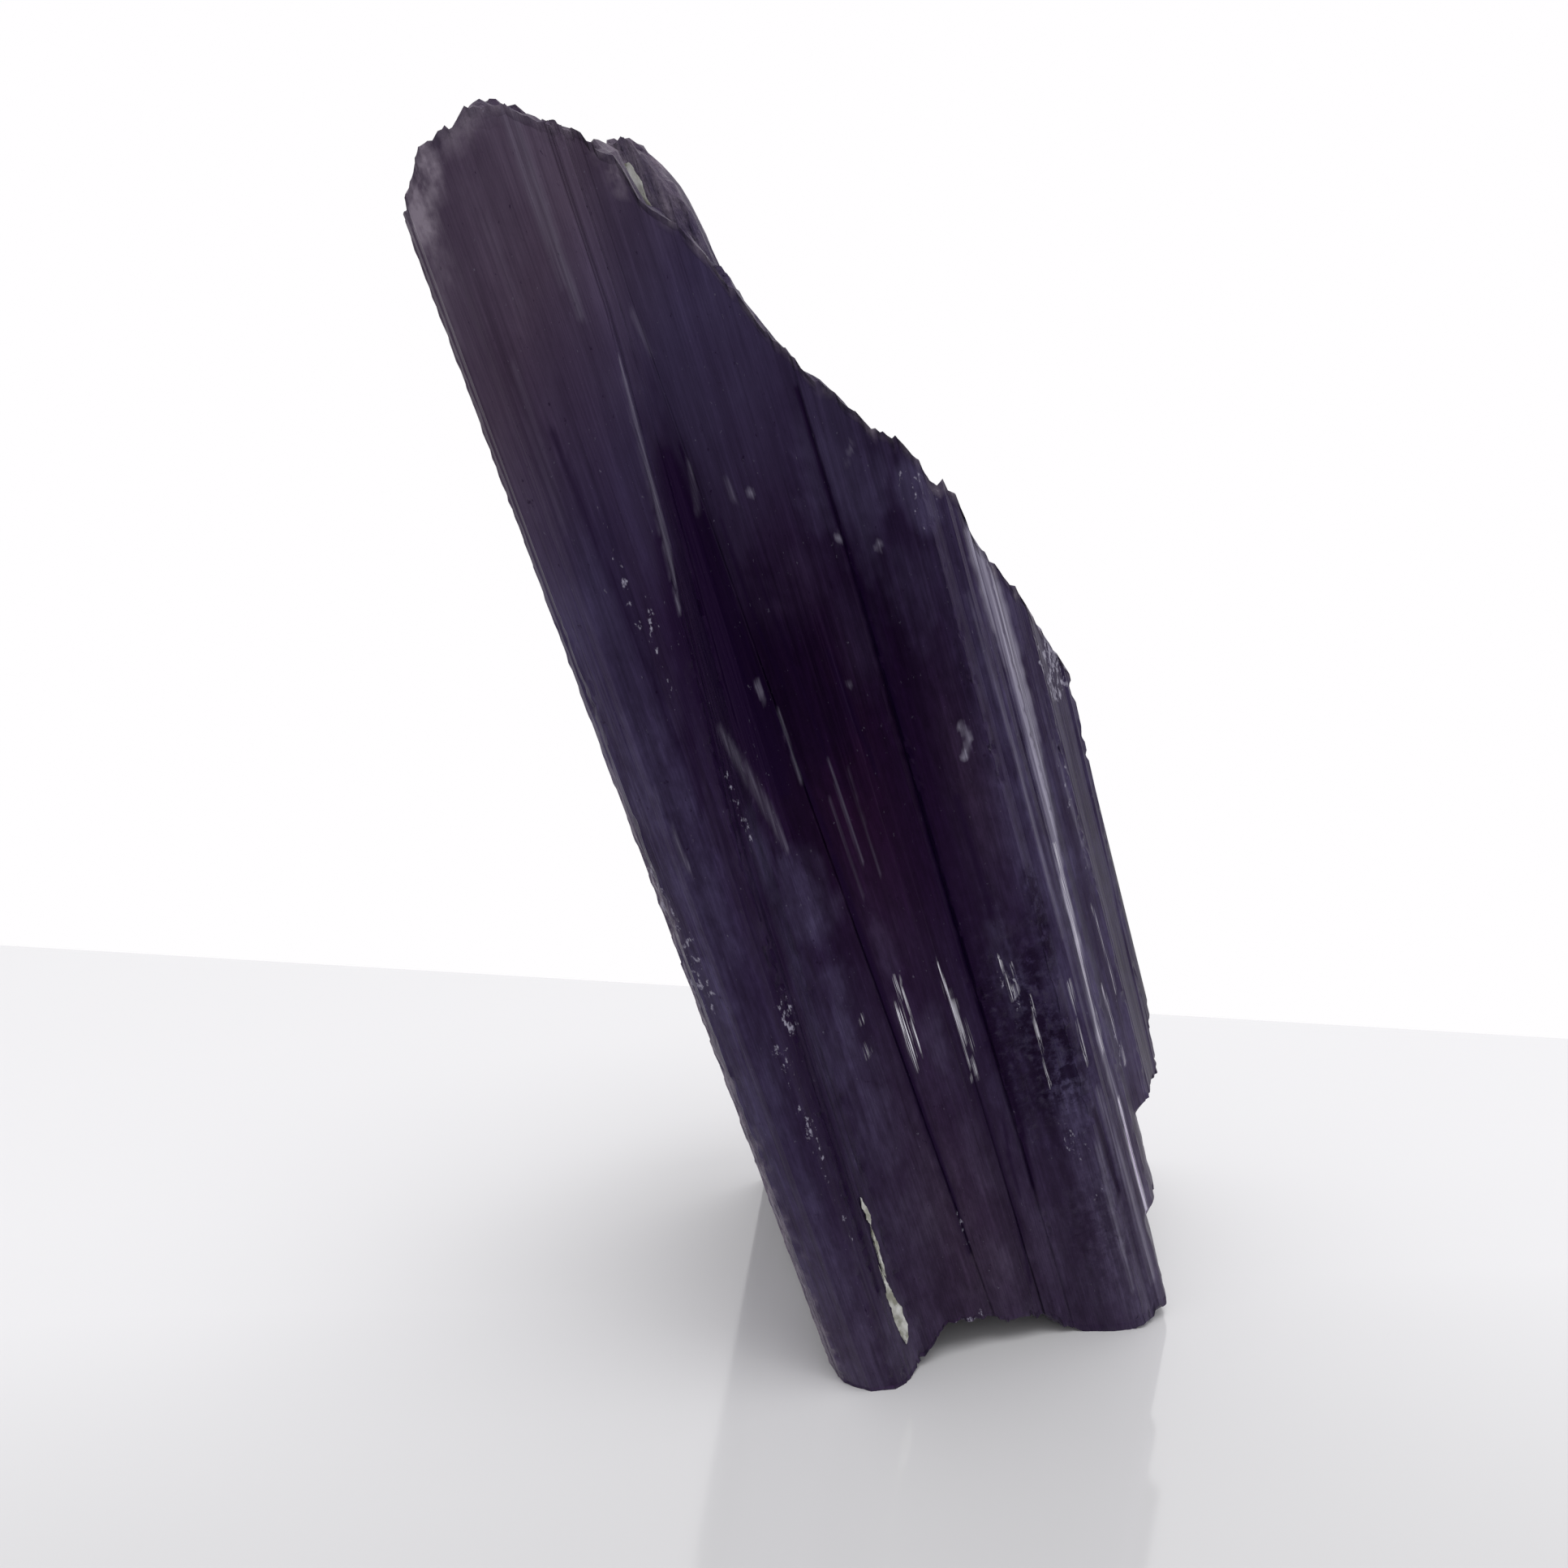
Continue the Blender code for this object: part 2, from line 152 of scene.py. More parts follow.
def along(table, value):
    places, amounts = zip(*table)
    return np.interp(value, places, amounts)


def lumps(x, y, z, size):
    x, y, z = np.broadcast_arrays(x, y, z)
    points = np.stack([x.ravel(), y.ravel(), z.ravel()], 1) / size
    return np.array([noise.noise(point) for point in points.tolist()]).reshape(x.shape)


def unit(value):
    return np.clip(value, 0, 1)


def ramp(value, start, end):
    return unit((value - start) / (end - start))


def band(value, low, high, soft):
    return unit(1 + np.minimum(value - low, high - value) / soft)


def depthBehindFront(x, y):
    return np.maximum(y - along(head["front"], x), 0)


def lattice(reach, size):
    count = int(reach / size) + 1
    span = range(-count, count + 1)
    return [(i, j) for i in span for j in span]


def cellSites():
    draw = random.Random(23)
    size, stray = head["cell"], head["jitter"]
    sites = []
    for i, j in lattice(head["cellReach"], size):
        x = size * (i + 0.5 * (j % 2) + draw.uniform(-stray, stray))
        y = size * (j + draw.uniform(-stray, stray))
        sites.append((x, y, draw.uniform(-head["cellStep"], head["cellStep"])))
    return np.array(sites)


sites = cellSites()
rods = {"reach": 36, "stray": 0.42}


def splinters(x, y, plan, seed):
    # height of the small rods that the break runs across, each with a level top of its own
    total = np.zeros_like(x)
    for size, height in plan:
        draw = np.random.default_rng(seed)
        cells = lattice(rods["reach"], size)
        tree = KDTree(len(cells))
        tops = draw.uniform(-height, height, len(cells))
        for index, (i, j) in enumerate(cells):
            shift = draw.uniform(-rods["stray"], rods["stray"], 2)
            tree.insert((size * (i + 0.5 * (j % 2) + shift[0]), size * (j + shift[1]), 0), index)
        tree.balance()
        nearest = [tree.find((px, py, 0))[1] for px, py in zip(x.ravel(), y.ravel())]
        total += tops[nearest].reshape(x.shape)
    return total


def headHeight(x, y):
    depth = depthBehindFront(x, y)
    front = along(head["line"], x) - along(head["fall"], x) * depth
    start, alongX, alongY = head["backSlope"]
    back = start + alongX * x + alongY * y
    near = np.hypot(sites[:, 0] - x[:, None], sites[:, 1] - y[:, None]).argmin(axis=1)
    lumpHeight, lumpSize = head["lump"]
    uneven = sites[near, 2] + lumpHeight * lumps(x, y, 9, lumpSize)
    height = np.minimum(front, back) + np.minimum(0.04 + depth / head["ease"], 1) * uneven
    low, high = head["rearDepth"]
    column = head["rearColumn"]
    inside = (x > column[0][0]) & (x < column[-1][0]) & (y > low) & (y < high)
    height = np.where(inside, np.maximum(height, along(column, x)), height)
    ragged = np.minimum(0.6 + depth / 8 + 0.35 * (x > 4), 1)
    return height + ragged * splinters(x, y, head["splinters"], 7)


def tableHeight(x, y):
    up = standing.to_3x3()[2]
    return -(up[0] * x + up[1] * y) / up[2]


def footHeight(x, y):
    depth = depthBehindFront(x, y)
    rim = np.exp(-depth / foot["fade"])
    lumpHeight, lumpSize = foot["lump"]
    hollow = foot["hollow"] + lumpHeight * lumps(x, y, 5, lumpSize)
    free = rim * along(foot["line"], x) + (1 - rim) * hollow
    for padX, padY, radius in foot["pads"]:
        free = np.minimum(free, foot["padSlope"] * (np.hypot(x - padX, y - padY) - radius))
    free = np.maximum(free, 0)
    rough = splinters(x, y, foot["splinters"], 9) * np.minimum(free / 1.2, 1)
    return tableHeight(x, y) + np.maximum(free + rough, 0)


def leaning(points):
    return [(z, *points[min(index, len(points) - 1)]) for index, z in enumerate(body["levels"])]


def stepped(point, inward, height, depth):
    above = point + inward * depth
    return [(0, *point), (height, *point), (height + body["ledgeRise"], *above)]


def uneven(point, inward, height, depth, deep, draw):
    # the floor of a groove, which grows shallower and deeper again up the column
    spots = []
    for z in sorted([*range(0, 150, 13), height, height + body["ledgeRise"]]):
        above = depth * min(max((z - height) / body["ledgeRise"], 0), 1)
        spots.append((float(z), *(point + inward * (above + deep * draw.uniform(*body["grooveShare"])))))
    return spots


def rearEdges():
    # grooves with a lip on both sides, and corners, of the columns that make the sides and the back
    draw, varied = random.Random(11), random.Random(12)
    first, *_, last = body["frontEdges"]
    corners = [Vector(corner) for corner in (last[0], *body["rearCorners"], first[0])]
    runs = [end - start for start, end in zip(corners, corners[1:])]
    normals = [Vector((-run.y, run.x)).normalized() for run in runs]
    edges = []
    ledge = draw.uniform(*body["ledgeHeight"]), draw.uniform(*body["ledgeDepth"])
    for start, run, inward, following in zip(corners, runs, normals, normals[1:] + [None]):
        count = max(1, round(run.length / body["columnWidth"]))
        for index in range(count):
            at = start + run * ((index + draw.uniform(*body["groovePlace"])) / count)
            step = run.normalized() * body["grooveHalf"]
            deep = draw.uniform(*body["grooveDepth"])
            edges.append(stepped(at - step, inward, *ledge))
            ledge = draw.uniform(*body["ledgeHeight"]), draw.uniform(*body["ledgeDepth"])
            edges.append(uneven(at, inward, *ledge, deep, varied))
            edges.append(stepped(at + step, inward, *ledge))
        if following:
            edges.append(stepped(start + run, (inward + following).normalized(), *ledge))
    return edges


def reading(edge, z):
    heights, xs, ys = zip(*edge)
    return np.stack([np.interp(z, heights, xs), np.interp(z, heights, ys)], -1)


middleHeight = body["levels"][1]

# the fine relief that the columns are striated with
relief = {
    "frontPitch": 0.27,
    "sidePitch": 0.7,
    "spread": (0.45, 1.55),  # how much narrower or wider than the pitch a thread may be
    "fine": 0.017,  # usual depth of a stria
    "deep": (0.05, 0.2),  # depth of the few deeper ones
    "deepShare": 0.06,
    "sideGain": 3,
    "rod": (1, 2.6),  # width of the gently round rods
    "rodBulge": 0.065,
    "seed": 31,
}


def threadsAround(edges):
    # every thread runs up the crystal: gap between edges, share of the way across it, inward depth,
    # distance to the nearer edge, seed
    draw = random.Random(relief["seed"])
    threads = []
    frontCount = len(body["frontEdges"]) - 1
    for gap, (edge, after) in enumerate(zip(edges, edges[1:] + edges[:1])):
        run = reading(after, middleHeight) - reading(edge, middleHeight)
        length = float(np.hypot(*run))
        onFront = gap < frontCount
        pitch = relief["frontPitch"] if onFront else relief["sidePitch"]
        gain = 1 if onFront else relief["sideGain"]
        count = max(1, round(length / pitch))
        widths = [draw.uniform(*relief["spread"]) for _ in range(count)]
        total = sum(widths)
        threads.append((gap, 0, 0, 0, draw.random() * 50))
        at, rodStart, rodWidth = 0, 0, draw.uniform(*relief["rod"])
        for width in widths[:-1]:
            at += width * length / total
            if at > rodStart + rodWidth:
                rodStart += rodWidth
                rodWidth = draw.uniform(*relief["rod"])
            across = (at - rodStart) / rodWidth
            depth = relief["rodBulge"] * (1 - 4 * across * (1 - across))
            depth += abs(draw.gauss(0, relief["fine"]))
            if draw.random() < relief["deepShare"]:
                depth += draw.uniform(*relief["deep"])
            edgeDistance = min(at, length - at)
            depth *= gain * min(1, 0.15 + edgeDistance / 0.8) * min(1, length / 3)
            threads.append((gap, at / length, depth, edgeDistance, draw.random() * 50))
    return threads


# rows of points up the crystal, and how far apart the points of its two ends stand
rows = {"foot": 14, "even": (15, 46), "evenStep": 0.75, "head": 116, "spacing": (0.85, 0.62)}


def threadHeights(footZ, headZ):
    low, high = rows["even"]
    even = np.arange(low, high, rows["evenStep"])
    lower = footZ + (low - footZ) * np.arange(rows["foot"]) / rows["foot"]
    upper = high + (headZ - high) * np.arange(rows["head"] + 1) / rows["head"]
    return np.concatenate([lower, even, upper])


# chipped edges, by their place in frontEdges: reach across, depth, size along, least bite that shows
chips = {
    0: (1.6, 0.5, 2.3, 0.25), 1: (1.3, 0.35, 1.6, 0.15), 3: (0.7, 0.3, 1.6, 0.2), 4: (0.8, 0.45, 1.3, 0),
    6: (0.7, 0.4, 1.7, 0.1), 8: (0.4, 0.25, 1.5, 0.2), 10: (0.4, 0.2, 1.4, 0.2),
    15: (0.5, 0.25, 1.5, 0.15), 17: (0.5, 0.3, 1.5, 0.1), 19: (0.8, 0.45, 1.6, 0.05),
    22: (0.5, 0.3, 1.8, 0.15), 24: (0.8, 0.4, 2.2, 0.05), 26: (1, 0.4, 2.6, 0.05),
}

# single bites out of the left edge: height, half length, depth
bites = [
    (112, 0.9, 0.3), (100, 0.6, 0.2), (92, 0.8, 0.25), (84, 1, 0.35), (77, 1.8, 0.6), (73.4, 0.7, 0.4),
    (69.5, 1.3, 0.9), (65.6, 0.8, 0.3), (61, 0.7, 0.35), (56, 0.9, 0.4), (51, 0.8, 0.35), (46, 1, 0.35),
    (41, 0.6, 0.3), (36, 1.6, 0.5), (30, 0.9, 0.35), (25, 0.7, 0.3),
]


def bodyPoints(edges, threads):
    count = len(edges)
    starts = np.array([reading(edge, middleHeight) for edge in edges])
    runs = np.roll(starts, -1, axis=0) - starts
    inward = np.stack([-runs[:, 1], runs[:, 0]], 1) / np.hypot(*runs.T)[:, None]
    gaps, shares, depths, _, seeds = (np.array(column) for column in zip(*threads))
    normals = inward[gaps]
    atEdge = shares == 0
    corner = inward[gaps[atEdge]] + inward[(gaps[atEdge] - 1) % count]
    normals[atEdge] = corner / np.hypot(*corner.T)[:, None]

    def place(z):
        # z is an array of heights for every thread
        points = np.empty((*z.shape, 2))
        for index, (gap, share) in enumerate(zip(gaps, shares)):
            low = reading(edges[gap], z[index])
            high = reading(edges[(gap + 1) % count], z[index])
            points[index] = low + (high - low) * share
        x, y = points[..., 0], points[..., 1]
        shift = depths[:, None] * striaFade(z, seeds)
        shift = shift + chipDepth(threads, z) + ledgeRoughness(x, y, z)
        points += normals[:, None, :] * shift[..., None]
        x, y = points[..., 0], points[..., 1]
        for shelf, side in reversed(body["shelves"]):
            edgeX = side + body["shelfSlant"] * y + 0.25 * lumps(x, y, z, 3)
            ragged = 3 * lumps(x * 0.3, y, 3, 5) + 1.2 * lumps(x * 0.3, y, 9, 1.6)
            lip = shelf + ragged * np.clip((y + 8) / 6, 0.1, 1)
            x[...] = np.where((z < lip) & (x > edgeX), edgeX + 0.04 * (x - edgeX), x)
        return points

    z = np.full((len(threads), 2), 60.0)  # the ends are found by trying a height and reading again
    for _ in range(4):
        low, high = place(z)[:, 0], place(z)[:, 1]
        z = np.stack([footHeight(low[:, 0], low[:, 1]), headHeight(high[:, 0], high[:, 1])], 1)
    heights = np.array([threadHeights(*pair) for pair in z])
    return np.concatenate([place(heights), heights[..., None]], -1)


def striaFade(z, seeds):
    # a stria swells, dies out and starts again along its length
    slow = lumps(seeds[:, None], 0, z, 16)
    quick = lumps(seeds[:, None] * 1.7, 3, z, 5)
    return np.clip(0.75 + 0.9 * slow + 0.25 * quick, 0, 1.6)


def chipDepth(threads, z):
    depth = np.zeros_like(z)
    for index, (gap, share, _, away, _) in enumerate(threads):
        for edge, (reach, most, size, least) in chips.items():
            if edge != gap + (share >= 0.5) or away > reach:
                continue
            at, near = z[index], 1 - away / reach
            bite = lumps(edge * 7.3, away * 0.5, at, size) + 0.6 * lumps(edge * 3.1, away, at, size * 0.45)
            strength = np.clip(bite - least, 0, 0.7) / 0.7
            if 0 < edge < 24:
                strength = strength * ramp(at, 112, 100)
            depth[index] += most * strength * near**0.7
            if edge == 0:
                depth[index] += 0.28 * np.abs(lumps(2, away * 0.5, at, 0.8)) * near
                for bite, halfLength, deep in bites:
                    bitten = unit(1 - np.abs(at - bite) / halfLength)
                    depth[index] += deep * np.sqrt(bitten) * near
    return depth


def ledgeRoughness(x, y, z):
    # the scooped break low on the front, with a crumbled floor
    scoop = body["scoop"]
    edgeShift = 1.4 * lumps(x * 0.4, 1, z, 2.6) + 0.7 * lumps(x * 0.4, 5, z, 1.1)
    inside = band(x + edgeShift, *scoop["x"], 0.7) * band(z + 2 * edgeShift, *scoop["z"], 5)
    crumble = 0.2 * lumps(x, y, z, 2.6) + 0.16 * lumps(x, y, z * 0.7, 1.3)
    return inside * (y < -15) * np.maximum(scoop["depth"] + crumble, 0)


def bodyFaces(threadCount, rowCount):
    around = np.arange(threadCount)
    after = (around + 1) % threadCount
    faces = []
    for row in range(rowCount - 1):
        a, b = around * rowCount + row, after * rowCount + row
        faces.append(np.stack([a, b, b + 1, a + 1], 1))
    return np.concatenate(faces)


def crossed(first, second, third, fourth):
    def side(a, b, c):
        return (b[0] - a[0]) * (c[1] - a[1]) - (b[1] - a[1]) * (c[0] - a[0])

    return (
        side(first, second, third) * side(first, second, fourth) < 0
        and side(third, fourth, first) * side(third, fourth, second) < 0
    )


def untangled(rim):
    # where the rim crosses itself within a few points, those points are laid out evenly
    rim = rim.copy()
    count = len(rim)
    for _ in range(4):
        for start in range(count):
            for reach in (4, 3, 2):
                spots = [(start + step) % count for step in range(reach + 2)]
                if crossed(rim[spots[0]], rim[spots[1]], rim[spots[-2]], rim[spots[-1]]):
                    shares = np.linspace(0, 1, reach + 2)[1:-1, None]
                    rim[spots[1:-1]] = rim[spots[0]] + (rim[spots[-1]] - rim[spots[0]]) * shares
    return rim


def rimDistance(points, rim):
    ends = np.roll(rim, -1, axis=0)
    shortest = np.full(len(points), np.inf)
    for start, end in zip(rim, ends):
        run = end - start
        share = unit(((points - start) @ run) / max(run @ run, 1e-12))
        shortest = np.minimum(shortest, np.hypot(*(points - start - share[:, None] * run).T))
    return shortest


def endCap(rim, height, spacing, seed):
    # points inside the rim and the triangles between them, numbered with the rim first
    draw = np.random.default_rng(seed)
    low, high = rim.min(axis=0), rim.max(axis=0)
    xs = np.arange(low[0], high[0], spacing)
    ys = np.arange(low[1], high[1], 0.87 * spacing)
    gridX, gridY = np.meshgrid(xs, ys)
    gridX = gridX + (np.arange(len(ys)) % 2)[:, None] * spacing / 2
    inside = np.stack([gridX.ravel(), gridY.ravel()], 1)
    inside += draw.uniform(-0.3, 0.3, inside.shape) * spacing
    inside = inside[rimDistance(inside, rim) > 0.4 * spacing]
    spots = [Vector(point) for point in np.concatenate([rim, inside]).tolist()]
    points, _, triangles, origins, *_ = delaunay_2d_cdt(spots, [], [list(range(len(rim)))], 1, 1e-6)
    number, extra = {}, []
    for index in dict.fromkeys(index for triangle in triangles for index in triangle):
        number[index] = min(origins[index])
        if number[index] >= len(rim):
            number[index] = len(rim) + len(extra)
            extra.append(tuple(points[index]))
    extra = np.array(extra).reshape(-1, 2)
    extra = np.column_stack([extra, height(extra[:, 0], extra[:, 1])])
    return extra, [[number[index] for index in triangle] for triangle in triangles]


def added(name, data):
    thing = bpy.data.objects.new(name, data)
    scene.collection.objects.link(thing)
    return thing


def plainMesh(name, points, faces, material):
    data = bpy.data.meshes.new(name)
    data.from_pydata(points, [], faces)
    data.materials.append(material)
    return added(name, data)


def meshPiece(name, points, faces, smooth, material):
    turn, shift = np.array(standing.to_3x3()), np.array(standing.translation)
    piece = plainMesh(name, (np.asarray(points) * mm @ turn.T + shift).tolist(), faces, material)
    piece.data.polygons.foreach_set("use_smooth", smooth)
    bm = bmesh.new()
    bm.from_mesh(piece.data)
    bmesh.ops.recalc_face_normals(bm, faces=bm.faces[:])
    bm.to_mesh(piece.data)
    bm.free()
    return piece


def makeBody(material):
    edges = [leaning(points) for points in body["frontEdges"]] + rearEdges()
    threads = threadsAround(edges)
    grid = bodyPoints(edges, threads)
    threadCount, rowCount = grid.shape[:2]
    points = grid.reshape(-1, 3)
    faces = bodyFaces(threadCount, rowCount).tolist()
    smooth = [True] * len(faces)
    broken = np.zeros(len(points))
    footSpacing, headSpacing = rows["spacing"]
    ends = ((0, footHeight, footSpacing, 5), (rowCount - 1, headHeight, headSpacing, 6))
    for row, height, spacing, seed in ends:
        rimNumbers = np.arange(threadCount) * rowCount + row
        points[rimNumbers, :2] = untangled(points[rimNumbers, :2])
        extra, triangles = endCap(points[rimNumbers, :2], height, spacing, seed)
        renumber = np.concatenate([rimNumbers, len(points) + np.arange(len(extra))])
        faces += [renumber[triangle].tolist() for triangle in triangles]
        smooth += [False] * len(triangles)
        points = np.concatenate([points, extra])
        broken = np.concatenate([broken, np.ones(len(extra))])
        broken[rimNumbers] = 1
    piece = meshPiece("tourmalineBody", points, faces, smooth, material)
    piece.data.set_sharp_from_angle(angle=math.radians(14))
    x, y, z = points.T
    tops = np.repeat(grid[:, -1, 2], rowCount)
    below = np.concatenate([tops - points[: len(tops), 2], np.full(len(points) - len(tops), 99)])
    rimWear = unit(1 - below / (1.1 + 0.9 * lumps(x, y, z, 2.5)))
    rough = brokenBevel(x, y, z)
    frosts = [patchOver("frost", x, y, z), rearFrost(x, y, z), rimWear * rimFrostAndHighlight(x, y, z)]
    masks = {
        "broken": np.maximum.reduce([broken, 0.8 * rimWear, 0.3 * rough]),
        "bevel": rough,
        "filmAndSheen": hazeAndSheenOver(x, y, z),
        "frost": np.maximum.reduce(frosts),
        "warmth": warmthOver(x, y, z),
        **{name: patchOver(name, x, y, z) for name in ("crumble", "speckle", "shadeAndDarkFlecks")},
        **{name: streaksOver(name, x, y, z) for name in streaks},
    }
    for name, values in masks.items():
        layer = piece.data.attributes.new(name, "FLOAT", "POINT")
        layer.data.foreach_set("value", values.astype(np.float32))
    print("body:", len(points), "points", sum(len(face) - 2 for face in faces), "triangles")
    return piece


# patches of the surface: x, z, half widths, strength
patches = {
    # film patches: partly film on the surface, partly painted highlights and sheen
    "filmAndSheen": [
        (-2.6, 66, 2.2, 4.6, 0.6), (-2.6, 42, 2.4, 13, 0.6), (-1.6, 22, 3, 9, 0.6), (-7, 12, 2, 8, 0.8),
        (4, 12, 4, 6, 0.55), (6.4, 46, 1.6, 4, 0.45), (4.2, 58, 1.2, 3, 0.4), (20, 103, 1.8, 3, 0.95),
        (-5, 74, 1, 4, 0.4), (14, 109, 3.6, 8, 0.62), (5, 99, 5, 3.5, 0.2), (10.5, 91, 2, 6, 0.14),
        (17.5, 95, 2.5, 6, 0.3), (-4.6, 46, 1, 22, 0.4), (16, 51, 1.3, 7, 0.8),
    ],
    "frost": [
        (-14, 140.5, 1.3, 4, 1.1), (-12.4, 144, 1.2, 2.4, 1.1), (-9, 145.6, 1.6, 1.4, 0.6),
        (1.8, 139.4, 0.8, 2.4, 0.7), (-15, 133, 0.6, 3, 0.25), (-15.2, 71, 0.5, 3, 0.6),
    ],
    "crumble": [
        (17.6, 41, 2.6, 10, 1), (20.7, 55, 0.5, 5, 0.9), (18, 15, 3, 6, 0.45), (13.4, 42, 1, 10, 0.7),
    ],
    "speckle": [
        (-8, 106, 0.4, 4, 0.9), (-6.6, 102, 0.4, 2, 0.9), (-7.2, 96, 0.4, 5, 0.8), (-5.1, 79, 0.35, 5, 1),
        (-7, 57, 0.8, 2.6, 1), (-8.8, 53, 0.7, 3, 0.9), (-8.6, 42, 0.6, 5, 0.9), (-8.2, 31, 0.4, 3, 0.7),
        (-15, 74, 0.7, 6, 0.9), (-14.2, 64, 1.2, 4, 0.9), (2.8, 21, 0.5, 3, 0.9), (1, 8.6, 2, 0.7, 0.9),
        (17.3, 27.5, 0.7, 2, 1), (18.8, 25, 0.8, 7, 0.7), (15.6, 49, 0.9, 4, 0.9),
        (27.2, 63, 0.5, 10, 0.7), (29, 79, 1.3, 5, 1.25), (20.5, 103, 2.4, 2.6, 0.6),
        (25.6, 36, 0.5, 6, 0.8),
    ],
    # painted dark reflection: darker patches on the middle of the front
    "shadeAndDarkFlecks": [(3.5, 88, 4, 9, 0.8), (-1.4, 108, 1.6, 9, 0.7)],
}

